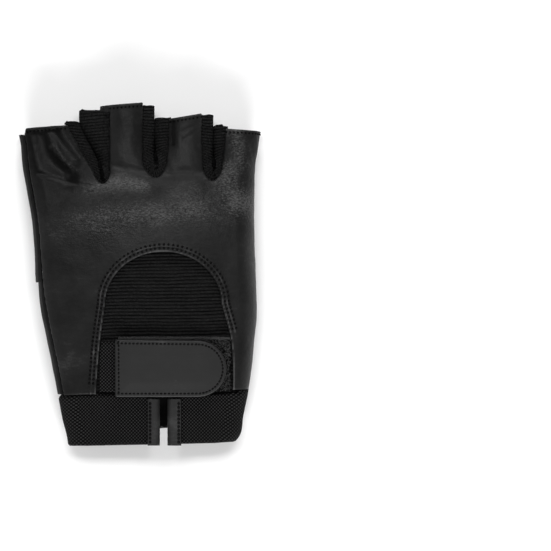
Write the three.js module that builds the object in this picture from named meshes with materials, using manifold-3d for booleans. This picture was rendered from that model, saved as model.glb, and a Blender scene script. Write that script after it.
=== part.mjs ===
// A fingerless weightlifting glove for the right hand, lying back up with its thumb folded under the palm.
// Millimetres. +Y runs from the wrist to the fingers, +X to the little finger, +Z up. It rests on z = 0.
import * as THREE from "three";
import { mergeVertices } from "three/addons/utils/BufferGeometryUtils.js";
import Module from "manifold-3d";

const wasm = await Module();
wasm.setup();

// Thicknesses, and the gap that neighbouring pieces keep.
const LEATHER = 1.2;
const OVERLAY = 1.0;
const KNIT = 1.0;
const RIBBED = 1.3;
const ELASTIC = 1.8;
const HOOK_TAPE = 1.5;
const TAB = 2.0;
const GAP = 0.35;
const OVERLAY_GAP = 0.45;

// The hand: one row for each cross-section from the wrist to the fingertips.
// left and right are the outline, crown and droop shape the back, midLeft and midRight are the heights
// of the two side edges, and base is the height of the palm above the ground.
const HAND = [
  { y: -82.3, left: -33.8, right: 44.2, crown: 19.0, droop: 0.1, midLeft: 8.5, midRight: 8.2, base: 0.0 },
  { y: -76.8, left: -35.0, right: 48.6, crown: 19.2, droop: 0.11, midLeft: 8.6, midRight: 8.2, base: 0.0 },
  { y: -67.7, left: -37.1, right: 50.0, crown: 19.8, droop: 0.13, midLeft: 9.0, midRight: 8.4, base: 0.0 },
  { y: -58.0, left: -39.0, right: 51.9, crown: 21.0, droop: 0.15, midLeft: 9.8, midRight: 8.6, base: 0.2 },
  { y: -45.0, left: -41.4, right: 53.9, crown: 23.4, droop: 0.18, midLeft: 11.0, midRight: 8.8, base: 0.9 },
  { y: -32.0, left: -44.1, right: 55.1, crown: 25.2, droop: 0.2, midLeft: 11.8, midRight: 9.0, base: 1.6 },
  { y: -19.7, left: -46.6, right: 56.4, crown: 26.4, droop: 0.21, midLeft: 12.2, midRight: 9.0, base: 1.6 },
  { y: -8.0, left: -48.4, right: 56.2, crown: 27.2, droop: 0.22, midLeft: 12.2, midRight: 9.0, base: 1.6 },
  { y: 8.2, left: -49.9, right: 55.6, crown: 27.4, droop: 0.23, midLeft: 11.8, midRight: 8.9, base: 1.6 },
  { y: 24.5, left: -51.2, right: 55.1, crown: 25.8, droop: 0.24, midLeft: 10.8, midRight: 8.6, base: 1.5 },
  { y: 37.0, left: -53.3, right: 55.3, crown: 23.0, droop: 0.24, midLeft: 9.8, midRight: 8.3, base: 0.6 },
  { y: 50.4, left: -55.7, right: 55.6, crown: 20.0, droop: 0.2, midLeft: 9.0, midRight: 8.0, base: 0.0 },
  { y: 60.5, left: -56.6, right: 56.8, crown: 18.6, droop: 0.16, midLeft: 8.6, midRight: 7.8, base: 0.0 },
  { y: 68.5, left: -57.9, right: 57.9, crown: 17.8, droop: 0.14, midLeft: 8.4, midRight: 7.6, base: 0.0 },
  { y: 84.0, left: -58.6, right: 58.8, crown: 17.0, droop: 0.12, midLeft: 8.2, midRight: 7.4, base: 0.0 },
];
const SIDE_RADIUS = 9;
const DROOP_POWER = 2.4;

// The slots between the fingers, as cut in the back and in the palm: each runs from the hem of one
// finger (a) down to the crotch and up to the hem of the next finger (b).
const BACK_SLOTS = [
  {
    aHemX: -33.8, aHemY: 71.4, aTurnX: -20.8, crotchX: -17.2,
    crotchY: 43.7, rise: 5.0, bTurnX: -14.3, bHemX: -14.9, bHemY: 80.9,
  },
  {
    aHemX: 2.2, aHemY: 82.2, aTurnX: 2.2, crotchX: 8.3,
    crotchY: 46.5, rise: 7.5, bTurnX: 13.0, bHemX: 13.9, bHemY: 74.2,
  },
  {
    aHemX: 30.4, aHemY: 77.0, aTurnX: 30.9, crotchX: 35.3,
    crotchY: 45.0, rise: 6.5, bTurnX: 39.5, bHemX: 41.0, bHemY: 69.7,
  },
];
const PALM_SLOTS = [
  {
    aHemX: -31.0, aHemY: 69.0, aTurnX: -22.5, crotchX: -19.1,
    crotchY: 42.1, rise: 5.0, bTurnX: -16.6, bHemX: -15.6, bHemY: 76.6,
  },
  {
    aHemX: -0.6, aHemY: 77.6, aTurnX: 1.4, crotchX: 6.9,
    crotchY: 42.2, rise: 7.0, bTurnX: 12.2, bHemX: 12.6, bHemY: 72.4,
  },
  {
    aHemX: 27.8, aHemY: 73.2, aTurnX: 29.2, crotchX: 33.6,
    crotchY: 40.2, rise: 6.5, bTurnX: 38.8, bHemX: 41.4, bHemY: 68.1,
  },
];
// Between two fingers the knit walls bulge until they almost meet along a valley line at half depth.
const VALLEYS = [
  { name: "index_middle", hemX: -29.4, endX: -20.4, endY: 54.0, kneeA: 72.0, kneeB: 77.6 },
  { name: "middle_ring", hemX: 7.0, endX: 7.4, endY: 58.5, kneeA: 79.6, kneeB: 73.8 },
  { name: "ring_little", hemX: 35.4, endX: 35.4, endY: 56.5, kneeA: 74.9, kneeB: 69.9 },
];
const VALLEY_CLEARANCE = 0.4;
const KNIT_TUCK = 1.5;
const KNIT_GAP = 0.7;
const FINGER_DIP = 3.4;
const FINGER_SHOULDER = 8;

// Hem ends of the outer fingers, where the index and the little finger meet the outline.
const BACK_HEM = { indexY: 67.0, indexCornerX: -54.0, indexCornerY: 69.8, littleY: 68.5 };
const PALM_HEM = { indexY: 66.0, indexCornerX: -54.0, indexCornerY: 67.4, littleY: 66.8 };
const BEYOND = 90;

// Dents and creases pressed into the back, and the folds of the palm.
const BACK_CREASES = [
  { fromX: -45.5, fromY: 65.5, toX: -35.5, toY: 52.5, depth: 2.6, width: 3.2 },
  { fromX: -37.5, fromY: 67.5, toX: -28.5, toY: 55.0, depth: 1.7, width: 2.6 },
  { fromX: -45.0, fromY: 47.5, toX: -21.0, toY: 42.5, depth: 1.2, width: 3.0 },
  { fromX: -13.0, fromY: 52.3, toX: 4.0, toY: 48.7, depth: 0.9, width: 2.6 },
  { fromX: 14.0, fromY: 48.5, toX: 30.5, toY: 49.2, depth: 0.6, width: 2.6 },
];
const PALM_CREASES = [
  { fromX: 14.0, fromY: -36.0, toX: 34.0, toY: -44.0, depth: 0.8, width: 3.0 },
  { fromX: 12.0, fromY: -45.0, toX: 28.0, toY: -52.0, depth: 0.8, width: 3.0 },
  { fromX: 20.0, fromY: 16.0, toX: 40.0, toY: 8.0, depth: 0.7, width: 3.0 },
];

// The arched opening in the back, with a ribbed elastic panel in it: half an ellipse on two legs.
const ARCH = { centreX: 11.8, springY: -14, halfWidth: 27.7, rise: 24.6 };
const ARCH_LEGS = [
  { y: -60.0, left: -20.7, right: 45.0 },
  { y: -45.0, left: -19.6, right: 45.0 },
  { y: -30.0, left: -18.2, right: 43.8 },
  { y: -14.0, left: -15.9, right: 39.5 },
];
const PANEL_MARGIN = 3;
const RIB_PITCH = 1.6;
const RIB_HEIGHT = 0.4;
const PANEL_BOTTOM_Y = -57.0;
const RIBS_START_Y = -33.0;

// The wrist strap: woven base, fuzzy loop patch, and the smooth tab that closes over both.
const STRAP_BASE = { left: -19.0, right: -10.3, bottom: -56.4, top: -32.4 };
const LOOP_PATCH = { left: -9.9, right: 43.2, bottom: -56.2, top: -30.2 };
const STRAP_TAB = { left: -11.3, right: 41.6, bottom: -58.9, top: -32.0 };

// The elastic cuff, its slit and the leather bindings on both edges of the slit.
const CUFF_SEAM_BACK = { leftX: -39.0, leftY: -58.1, rightX: 52.8, rightY: -55.2 };
const CUFF_SEAM_PALM = { leftX: -37.0, leftY: -60.8, rightX: 50.9, rightY: -53.2 };
const CUFF_TUCK = 4.5;
const CUFF_GAP = 0.55;
const CUFF_TOP_IN_ARCH = -57.5;
const CUFF_END = { backLeft: -82.3, backRight: -80.8, palmLeft: -82.0, palmMiddle: -74.2, palmRight: -76.5 };
const BINDINGS = [
  { name: "vent_binding_left", edge: 10.06, width: 5.0, towards: -1 },
  { name: "vent_binding_right", edge: 13.4, width: 6.2, towards: 1 },
];
const BINDING_TOP = -59.5;
const BINDING_BOTTOM = -82.0;
const BINDING_LEATHER = 0.9;
const BINDING_GAP = 0.5;

// Seam lines of the palm, from the index side to the little-finger side.
const PALM_SEAM = [
  { x: -60.0, y: 43.2 },
  { x: -19.1, y: 43.0 },
  { x: -7.7, y: 36.3 },
  { x: 5.1, y: 29.5 },
  { x: 17.4, y: 25.7 },
  { x: 29.5, y: 24.2 },
  { x: 60.0, y: 20.4 },
];
const PALM_SEAM_START_X = -19.1;
const OVERLAY_UPPER = [
  { x: -58.0, y: 20.8 },
  { x: -24.1, y: 19.5 },
  { x: 14.0, y: 9.8 },
  { x: 60.0, y: -24.0 },
];
const OVERLAY_LOWER = [
  { x: -58.0, y: -0.6 },
  { x: -31.5, y: 1.0 },
  { x: 6.1, y: -28.8 },
  { x: 60.0, y: -30.0 },
];

// The thumb, folded flat under the palm: one row for each cross-section.
const THUMB = [
  { y: -51.2, left: -3.4, right: -0.6, floor: 5.6 },
  { y: -49.6, left: -8.4, right: 3.0, floor: 3.2 },
  { y: -46.6, left: -13.6, right: 5.4, floor: 1.4 },
  { y: -41.0, left: -21.0, right: 8.0, floor: 0.2 },
  { y: -36.1, left: -25.2, right: 8.7, floor: 0.0 },
  { y: -28.5, left: -29.4, right: 8.6, floor: 0.0 },
  { y: -20.3, left: -32.7, right: 8.6, floor: 0.0 },
  { y: -12.0, left: -35.6, right: 8.8, floor: 0.0 },
  { y: -4.9, left: -37.0, right: 9.0, floor: 0.0 },
  { y: 1.2, left: -33.4, right: 9.8, floor: 0.0 },
  { y: 8.0, left: -29.4, right: 11.0, floor: 0.0 },
  { y: 16.1, left: -25.2, right: 12.6, floor: 0.0 },
  { y: 29.0, left: -20.0, right: 14.2, floor: 0.0 },
];
const THUMB_HEM = { leftX: -20.8, leftY: 26.4, rightX: 12.6, rightY: 16.1 };
const THUMB_HOLE = { leftX: -38.5, leftY: -4.9, rightX: 6.0, rightY: -28.8 };
const THUMB_TOP = 9.5;
const THUMB_EDGE = 6;
const THUMB_STRIP = { topX: 9.2, topY: 14.6, bottomX: -2.9, bottomY: -47.7 };
const HOLE_INSET = 2.2;
const PALM_LIFT_REACH = 16;

// Materials, one for each kind of stuff.
const LEATHER_LOOK = { color: 0x1d1d1e, roughness: 0.42 };
const TAB_LOOK = { color: 0x2a2a2b, roughness: 0.5 };
const KNIT_LOOK = { color: 0x121213, roughness: 0.9 };
const WOVEN_LOOK = { color: 0x161617, roughness: 0.8 };
const LOOP_LOOK = { color: 0x1a1a1b, roughness: 1.0 };

const { clamp, lerp, smoothstep } = THREE.MathUtils;
const QUARTER = Math.PI / 2;

// A smooth curve through one column of a table whose rows ascend along another column.
function curveThrough(rows, along, column) {
  const last = rows.length - 1;
  return (value) => {
    const at = clamp(value, rows[0][along], rows[last][along]);
    let i = 0;
    while (i < last - 1 && at > rows[i + 1][along]) i += 1;
    const before = rows[Math.max(i - 1, 0)];
    const from = rows[i];
    const to = rows[i + 1];
    const after = rows[Math.min(i + 2, last)];
    const span = to[along] - from[along];
    const slopeFrom = ((to[column] - before[column]) / (to[along] - before[along])) * span;
    const slopeTo = ((after[column] - from[column]) / (after[along] - from[along])) * span;
    const t = (at - from[along]) / span;
    const rising = t * t * (3 - 2 * t);
    const bend = t * (1 - t);
    return lerp(from[column], to[column], rising) + bend * ((1 - t) * slopeFrom - t * slopeTo);
  };
}

// The height of a straight line between two named ends, at x.
function lineAt(line, x) {
  return lerp(line.leftY, line.rightY, (x - line.leftX) / (line.rightX - line.leftX));
}

// Evenly spaced values, both ends included.
function steps(from, to, count) {
  return Array.from({ length: count + 1 }, (_, i) => lerp(from, to, i / count));
}

const hand = {};
for (const column of ["left", "right", "crown", "droop", "midLeft", "midRight", "base"]) {
  hand[column] = curveThrough(HAND, "y", column);
}
const thumb = {};
for (const column of ["left", "right", "floor"]) {
  thumb[column] = curveThrough(THUMB, "y", column);
}
const archLegLeft = curveThrough(ARCH_LEGS, "y", "left");
const archLegRight = curveThrough(ARCH_LEGS, "y", "right");
const palmSeam = curveThrough(PALM_SEAM, "x", "y");
const overlayUpper = curveThrough(OVERLAY_UPPER, "x", "y");
const overlayLower = curveThrough(OVERLAY_LOWER, "x", "y");

// The distance from a point to the straight line between two others.
function distanceToSegment(x, y, fromX, fromY, toX, toY) {
  const spanX = toX - fromX;
  const spanY = toY - fromY;
  const along = ((x - fromX) * spanX + (y - fromY) * spanY) / (spanX * spanX + spanY * spanY);
  const t = clamp(along, 0, 1);
  return Math.hypot(x - fromX - t * spanX, y - fromY - t * spanY);
}

// How deep a set of creases presses the leather at a point.
function creaseDepth(creases, x, y) {
  let depth = 0;
  for (const crease of creases) {
    const away = distanceToSegment(x, y, crease.fromX, crease.fromY, crease.toX, crease.toY) / crease.width;
    depth += crease.depth * Math.exp(-away * away);
  }
  return depth;
}

// The two edges of a slot at height y; below the crotch both are its middle.
function slotEdges(slot, y) {
  const turnY = slot.crotchY + slot.rise;
  if (y >= turnY) {
    const a = lerp(slot.aTurnX, slot.aHemX, (y - turnY) / (slot.aHemY - turnY));
    const b = lerp(slot.bTurnX, slot.bHemX, (y - turnY) / (slot.bHemY - turnY));
    return { a, b };
  }
  const down = clamp((turnY - y) / slot.rise, 0, 1);
  const open = Math.sqrt(1 - down * down);
  return { a: lerp(slot.crotchX, slot.aTurnX, open), b: lerp(slot.crotchX, slot.bTurnX, open) };
}

// How far the leather drops beside the slots, so that each finger is rounded.
function fingerDip(slots, x, y) {
  let dip = 0;
  for (const slot of slots) {
    const edges = slotEdges(slot, y);
    const halfGap = (edges.b - edges.a) / 2;
    const fromMiddle = Math.hypot(x - (edges.a + edges.b) / 2, 1.5);
    const inside = clamp((halfGap + FINGER_SHOULDER - fromMiddle) / FINGER_SHOULDER, 0, 1.3);
    dip += FINGER_DIP * smoothstep(y, slot.crotchY - 10, slot.crotchY + 20) * inside * inside;
  }
  return dip;
}

// The plan outline of the folded thumb as far as its hem, as corners.
const thumbOutline = [];
for (const row of THUMB) {
  if (row.y < THUMB_HEM.rightY) thumbOutline.push([row.right, row.y]);
}
thumbOutline.push([THUMB_HEM.rightX, THUMB_HEM.rightY], [THUMB_HEM.leftX, THUMB_HEM.leftY]);
for (const row of [...THUMB].reverse()) {
  if (row.y < THUMB_HEM.leftY) thumbOutline.push([row.left, row.y]);
}

// The distance from a point to the thumb's outline, 0 inside it.
function distanceOutsideThumb(x, y) {
  let inside = false;
  let nearest = Infinity;
  thumbOutline.forEach(([fromX, fromY], i) => {
    const [toX, toY] = thumbOutline[(i + 1) % thumbOutline.length];
    nearest = Math.min(nearest, distanceToSegment(x, y, fromX, fromY, toX, toY));
    const crosses = fromY > y !== toY > y;
    if (crosses && x < fromX + ((y - fromY) / (toY - fromY)) * (toX - fromX)) inside = !inside;
  });
  return inside ? 0 : nearest;
}

// Outer height of the back over a point, before its side edges round off.
function backHeight(x, y) {
  const half = (hand.right(y) - hand.left(y)) / 2;
  const across = Math.abs(x - (hand.right(y) + hand.left(y)) / 2) / half;
  const dome = hand.crown(y) * (1 - hand.droop(y) * across ** DROOP_POWER);
  return dome - fingerDip(BACK_SLOTS, x, y) - creaseDepth(BACK_CREASES, x, y);
}

// Outer height of the palm over a point: it lies low at the sides and rises over the folded thumb.
function palmHeight(x, y) {
  const over = 1 - smoothstep(distanceOutsideThumb(x, y), 0, PALM_LIFT_REACH);
  const aboveHole = smoothstep(y - overlayLower(x), -2.5, -0.4);
  const onThumb = THUMB_TOP + GAP + aboveHole * (OVERLAY + OVERLAY_GAP);
  const low = hand.base(y) + 0.8 * fingerDip(PALM_SLOTS, x, y) + creaseDepth(PALM_CREASES, x, y);
  return Math.max(lerp(low, onThumb, over), 0);
}

// A point of the glove's outer skin. p runs round the section: 0 to 1 is the round left side above its edge,
// 1 to 2 the back, 2 to 4 the round right side, 4 to 5 the palm, 5 to 6 the left side below its edge.
function skin(p, y) {
  const isBack = p >= 0 && p <= 3;
  const q = p < 0 ? -p : Math.min(p, 6 - p);
  const left = hand.left(y);
  const right = hand.right(y);
  const turn = q < 1 ? q * QUARTER : q > 2 ? (3 - q) * QUARTER : QUARTER;
  const inset = SIDE_RADIUS * (1 - Math.cos(turn));
  const flat = lerp(left + SIDE_RADIUS, right - SIDE_RADIUS, q - 1);
  const x = q < 1 ? left + inset : q > 2 ? right - inset : flat;
  const mid = lerp(hand.midLeft(y), hand.midRight(y), (x - left) / (right - left));
  const height = isBack ? backHeight(x, y) : palmHeight(x, y);
  return new THREE.Vector3(x, y, mid + (height - mid) * Math.sin(turn));
}

// The place p on the back's skin that lies at x.
function backPlace(x, y) {
  const left = hand.left(y);
  const right = hand.right(y);
  if (x < left + SIDE_RADIUS) return Math.acos(1 - (x - left) / SIDE_RADIUS) / QUARTER;
  if (x > right - SIDE_RADIUS) return 3 - Math.acos(1 - (right - x) / SIDE_RADIUS) / QUARTER;
  return 1 + (x - left - SIDE_RADIUS) / (right - left - 2 * SIDE_RADIUS);
}

// A point of a surface moved along its outward normal.
function raised(surface, u, v, height) {
  const small = 1e-3;
  const along = surface(u + small, v).sub(surface(u - small, v));
  const up = surface(u, v + small).sub(surface(u, v - small));
  return surface(u, v).addScaledVector(along.cross(up).normalize(), height);
}

// The skin raised (or with a negative height sunk) along its normal.
function skinAt(p, y, height) {
  return raised(skin, p, y, height);
}

// The back's skin at x, raised along its normal.
function backAt(x, y, height) {
  return skinAt(backPlace(x, y), y, height);
}

// A closed sheet: a surface over a grid of u and v, and its copy one thickness inside, joined at the border.
function sheetGeometry({ surface, us, vs, thickness }) {
  const outer = vs.map((v) => us.map((u) => surface(u, v)));
  const inner = vs.map((v) => us.map((u) => raised(surface, u, v, -thickness)));
  const triangles = [];
  const quad = (a, b, c, d) => triangles.push(a, b, c, a, c, d);
  const lastU = us.length - 1;
  const lastV = vs.length - 1;
  for (let j = 0; j < lastV; j += 1) {
    for (let i = 0; i < lastU; i += 1) {
      quad(outer[j][i], outer[j][i + 1], outer[j + 1][i + 1], outer[j + 1][i]);
      quad(inner[j][i], inner[j + 1][i], inner[j + 1][i + 1], inner[j][i + 1]);
    }
    quad(inner[j][0], outer[j][0], outer[j + 1][0], inner[j + 1][0]);
    quad(outer[j][lastU], inner[j][lastU], inner[j + 1][lastU], outer[j + 1][lastU]);
  }
  for (let i = 0; i < lastU; i += 1) {
    quad(inner[0][i], inner[0][i + 1], outer[0][i + 1], outer[0][i]);
    quad(outer[lastV][i], outer[lastV][i + 1], inner[lastV][i + 1], inner[lastV][i]);
  }
  return new THREE.BufferGeometry().setFromPoints(triangles);
}

// A closed solid through a row of closed rings, with flat ends.
function loftGeometry(rings) {
  const triangles = [];
  const sides = rings[0].length;
  for (let j = 0; j < rings.length - 1; j += 1) {
    for (let i = 0; i < sides; i += 1) {
      const next = (i + 1) % sides;
      triangles.push(rings[j][i], rings[j][next], rings[j + 1][next]);
      triangles.push(rings[j][i], rings[j + 1][next], rings[j + 1][i]);
    }
  }
  for (const [ring, turned] of [[rings[0], false], [rings[rings.length - 1], true]]) {
    const centre = ring.reduce((sum, point) => sum.add(point), new THREE.Vector3()).divideScalar(sides);
    for (let i = 0; i < sides; i += 1) {
      const pair = [ring[(i + 1) % sides], ring[i]];
      if (turned) pair.reverse();
      triangles.push(centre, ...pair);
    }
  }
  return new THREE.BufferGeometry().setFromPoints(triangles);
}

// A closed mesh as a solid that can be cut and joined.
function solidOf(geometry) {
  const bare = geometry.clone();
  bare.deleteAttribute("normal");
  bare.deleteAttribute("uv");
  const merged = mergeVertices(bare, 1e-4);
  const solid = new wasm.Mesh({
    numProp: 3,
    vertProperties: merged.attributes.position.array,
    triVerts: new Uint32Array(merged.index.array),
  });
  return new wasm.Manifold(solid);
}

// The geometry of a cut or joined solid.
function geometryOf(solid) {
  const mesh = solid.getMesh();
  const geometry = new THREE.BufferGeometry();
  geometry.setAttribute("position", new THREE.BufferAttribute(mesh.vertProperties, 3));
  geometry.setIndex(new THREE.BufferAttribute(mesh.triVerts, 1));
  return geometry;
}

// A tall upright prism over a plan outline, for cutting.
function prism(corners, bottom = -20, top = 60) {
  const shape = new THREE.Shape(corners.map(([x, y]) => new THREE.Vector2(x, y)));
  const geometry = new THREE.ExtrudeGeometry(shape, { depth: top - bottom, bevelEnabled: false });
  geometry.translate(0, 0, bottom);
  return solidOf(geometry);
}

// A point of the path round a slot: 0 to 0.4 down one finger, 0.4 to 0.6 round the crotch, then up the next.
function slotPath(slot, s, hemA = slot.aHemY, hemB = slot.bHemY) {
  const turnY = slot.crotchY + slot.rise;
  if (s < 0.4) {
    const y = lerp(hemA, turnY, s / 0.4);
    return [slotEdges(slot, y).a, y];
  }
  if (s > 0.6) {
    const y = lerp(turnY, hemB, (s - 0.6) / 0.4);
    return [slotEdges(slot, y).b, y];
  }
  const angle = ((s - 0.4) / 0.2) * Math.PI;
  const side = angle < QUARTER ? slot.aTurnX : slot.bTurnX;
  const x = lerp(slot.crotchX, side, Math.abs(Math.cos(angle)));
  return [x, slot.crotchY + slot.rise * (1 - Math.sin(angle))];
}

// All that lies beyond the finger hems and inside the slots, as one cutting prism.
function fingerCutter(slots, hem) {
  const outline = [[-BEYOND, BEYOND], [-BEYOND, hem.indexY], [hand.left(hem.indexY), hem.indexY]];
  outline.push([hem.indexCornerX, hem.indexCornerY]);
  for (const slot of slots) {
    for (const s of [0, 0.4, 0.44, 0.48, 0.52, 0.56, 0.6, 1]) outline.push(slotPath(slot, s));
  }
  outline.push([hand.right(hem.littleY), hem.littleY], [BEYOND, hem.littleY], [BEYOND, BEYOND]);
  return prism(outline.reverse());
}

// The arched opening's edges at y, moved outwards by a margin.
function archEdges(y, margin) {
  if (y < ARCH.springY) return { left: archLegLeft(y) - margin, right: archLegRight(y) + margin };
  const up = clamp((y - ARCH.springY) / (ARCH.rise + margin), 0, 1);
  const half = (ARCH.halfWidth + margin) * Math.sqrt(1 - up * up);
  return { left: ARCH.centreX - half, right: ARCH.centreX + half };
}

// The arched opening as a cutting prism, open below.
function archPrism() {
  const corners = [];
  for (const angle of steps(0, Math.PI, 18)) {
    const x = ARCH.centreX + ARCH.halfWidth * Math.cos(angle);
    corners.push([x, ARCH.springY + ARCH.rise * Math.sin(angle)]);
  }
  for (const row of [...ARCH_LEGS].reverse().slice(1)) corners.push([row.left, row.y]);
  corners.push([ARCH_LEGS[0].left, -BEYOND], [ARCH_LEGS[0].right, -BEYOND]);
  for (const row of ARCH_LEGS.slice(0, -1)) corners.push([row.right, row.y]);
  return prism(corners);
}

// Where the skin's sections are sampled: closer together on the round sides.
const LEFT_SIDE = [0.5, 0.75];
const RIGHT_SIDE = [2.25, 2.5, 2.75, 3, 3.25, 3.5];
const BACK_PLACES = [...LEFT_SIDE, ...steps(1, 2, 16), ...RIGHT_SIDE];
const PALM_PLACES = [3.55, 3.78, ...steps(4, 5, 13), 5.25, 5.5];

// The back: one piece of leather with four finger backs, cut out round the arch. It wraps the side of the
// little finger.
function backPanel() {
  const surface = (p, v) => {
    const lower = lineAt(CUFF_SEAM_BACK, skin(p, CUFF_SEAM_BACK.leftY).x);
    return skin(p, lerp(lower, 84, v));
  };
  const vs = steps(0, 1, 27);
  const sheet = solidOf(sheetGeometry({ surface, us: BACK_PLACES, vs, thickness: LEATHER }));
  return geometryOf(sheet.subtract(archPrism()).subtract(fingerCutter(BACK_SLOTS, BACK_HEM)));
}

// The ribbed elastic panel under the arch, with its margin tucked under the leather.
function archPanel() {
  const topY = ARCH.springY + (ARCH.rise + PANEL_MARGIN) * 0.985;
  const ribCount = Math.round((topY - RIBS_START_Y) / RIB_PITCH);
  const surface = (u, y) => {
    const edges = archEdges(y, PANEL_MARGIN);
    const ribs = (clamp(y - RIBS_START_Y, 0, BEYOND) / (topY - RIBS_START_Y)) * ribCount;
    const rib = RIB_HEIGHT * (Math.cos(2 * Math.PI * ribs) / 2 - 0.5);
    return backAt(lerp(edges.left, edges.right, u), y, rib - LEATHER - GAP);
  };
  const vs = [PANEL_BOTTOM_Y, -49, -41, ...steps(RIBS_START_Y, topY, 2 * ribCount)];
  return sheetGeometry({ surface, us: steps(0, 1, 6), vs, thickness: RIBBED });
}

// One of the two strips along the index side, between the back and the palm.
function indexStrip(bottomY, topY, rowCount) {
  const surface = (p, y) => skin(p, y);
  const us = [-0.46, -0.23, 0, 0.23, 0.46];
  return sheetGeometry({ surface, us, vs: steps(bottomY, topY, rowCount), thickness: LEATHER });
}

// The knit wall between two fingers: down one finger, round the crotch and up the next.
function gusset(index) {
  const valley = VALLEYS[index];
  const back = BACK_SLOTS[index];
  const palm = PALM_SLOTS[index];
  const middle = {
    aHemX: valley.hemX - VALLEY_CLEARANCE,
    aHemY: valley.kneeA,
    aTurnX: valley.endX - VALLEY_CLEARANCE,
    crotchX: valley.endX,
    crotchY: valley.endY,
    rise: VALLEY_CLEARANCE,
    bTurnX: valley.endX + VALLEY_CLEARANCE,
    bHemX: valley.hemX + VALLEY_CLEARANCE,
    bHemY: valley.kneeB,
  };
  const surface = (s, t) => {
    const top = new THREE.Vector2(...slotPath(back, s, valley.kneeA, valley.kneeB));
    const bottom = new THREE.Vector2(...slotPath(palm, s, valley.kneeA - 4, valley.kneeB - 3));
    const deep = new THREE.Vector2(...slotPath(middle, s));
    const topZ = backAt(top.x, top.y, 0).z - LEATHER - KNIT_GAP;
    const bottomZ = palmHeight(bottom.x, bottom.y) + LEATHER + KNIT_GAP;
    top.addScaledVector(top.clone().sub(deep).normalize(), KNIT_TUCK);
    bottom.addScaledVector(bottom.clone().sub(deep).normalize(), KNIT_TUCK);
    const down = (1 - Math.cos(Math.PI * t)) / 2;
    const out = Math.sin(Math.PI * clamp(t, 0, 1)) ** 0.8;
    const chord = top.clone().lerp(bottom, down);
    const bulge = deep.sub(top.clone().lerp(bottom, 0.5)).multiplyScalar(out);
    return new THREE.Vector3(chord.x + bulge.x, chord.y + bulge.y, lerp(topZ, bottomZ, down));
  };
  const us = [0, 0.13, 0.27, 0.4, 0.44, 0.48, 0.52, 0.56, 0.6, 0.73, 0.87, 1];
  return sheetGeometry({ surface, us, vs: steps(0, 1, 6), thickness: KNIT });
}

// The palm above the overlay's lower edge, p across and v from 0 at that edge to 1 beyond the fingers.
function palmPoint(p, v) {
  const lower = overlayLower(skin(p, 0).x);
  return skin(p, lerp(lower + GAP / 2, 80, v));
}
const PALM_ROWS = steps(0, 1, 18);

// The palm from the overlay's lower edge to the finger hems, before it is split at the palm seam.
function palmSheet() {
  const sheet = sheetGeometry({ surface: palmPoint, us: PALM_PLACES, vs: PALM_ROWS, thickness: LEATHER });
  return solidOf(sheet).subtract(fingerCutter(PALM_SLOTS, PALM_HEM));
}

// The region above the palm seam, moved down by a shift.
function abovePalmSeam(shift) {
  const seam = [PALM_SEAM_START_X, -12, -5, 3, 11, 20, 30, 45, 60].map((x) => [x, palmSeam(x) - shift]);
  return prism([...seam, [BEYOND, seam.at(-1)[1]], [BEYOND, BEYOND], [PALM_SEAM_START_X, BEYOND]]);
}

// The hole in the palm that the thumb opens into, moved inwards from the thumb's outline.
function thumbHole(inset) {
  const corners = [];
  const rows = [-49.2, -46.6, -41, -36.1, -28.5, -20.3, -12];
  for (const y of rows) corners.push([thumb.right(y) - inset, y + inset * smoothstep(y, -40, -50)]);
  const below = (x) => [x, lineAt(THUMB_HOLE, x) - inset];
  const right = corners.filter(([x, y]) => y < below(x)[1]);
  const left = rows.map((y) => [thumb.left(y) + inset, y + inset * smoothstep(y, -40, -50)]);
  const kept = left.filter(([x, y]) => y < below(x)[1]);
  return [...right, below(thumb.right(-28) - inset), below(-36.4 + inset), ...kept.reverse()];
}

// The heel of the palm, from the cuff to the overlay, with the thumb hole.
function palmHeel() {
  const surface = (p, v) => {
    const lower = lineAt(CUFF_SEAM_PALM, skin(p, CUFF_SEAM_PALM.leftY).x);
    const upper = overlayLower(skin(p, 0).x) - GAP / 2;
    return skin(p, lerp(lower, upper, v));
  };
  const vs = steps(0, 1, 11);
  const sheet = solidOf(sheetGeometry({ surface, us: PALM_PLACES, vs, thickness: LEATHER }));
  return geometryOf(sheet.subtract(prism(thumbHole(HOLE_INSET))));
}

// The reinforcing band laid over the palm.
function palmOverlay() {
  const surface = (p, v) => raised(palmPoint, p, v, OVERLAY + OVERLAY_GAP);
  const vs = PALM_ROWS.slice(0, 12);
  const sheet = solidOf(sheetGeometry({ surface, us: PALM_PLACES, vs, thickness: OVERLAY }));
  const upper = [-58, -40, -24, -5, 14, 30, 45, 60].map((x) => [x, overlayUpper(x)]);
  return geometryOf(sheet.intersect(prism([[-BEYOND, -BEYOND], [BEYOND, -BEYOND], ...upper.reverse()])));
}

// A section of the folded thumb, shrunk by an inset: a flat tube with round edges.
function thumbRing(y, inset) {
  const left = thumb.left(y) + inset;
  const right = thumb.right(y) - inset;
  const floor = thumb.floor(y) + inset;
  const top = THUMB_TOP - inset;
  const mid = (floor + top) / 2;
  const edge = Math.min(THUMB_EDGE - inset, (right - left) / 2.2);
  const ring = [];
  const halfTurn = [90, 65, 40, 15, -15, -40, -65, -90].map((angle) => THREE.MathUtils.degToRad(angle));
  for (const turn of halfTurn) {
    const x = right - edge + edge * Math.cos(turn);
    ring.push(new THREE.Vector3(x, y, mid + (top - mid) * Math.sin(turn)));
  }
  for (const turn of halfTurn.reverse()) {
    const x = left + edge - edge * Math.cos(turn);
    ring.push(new THREE.Vector3(x, y, mid + (top - mid) * Math.sin(turn)));
  }
  return ring;
}

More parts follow.
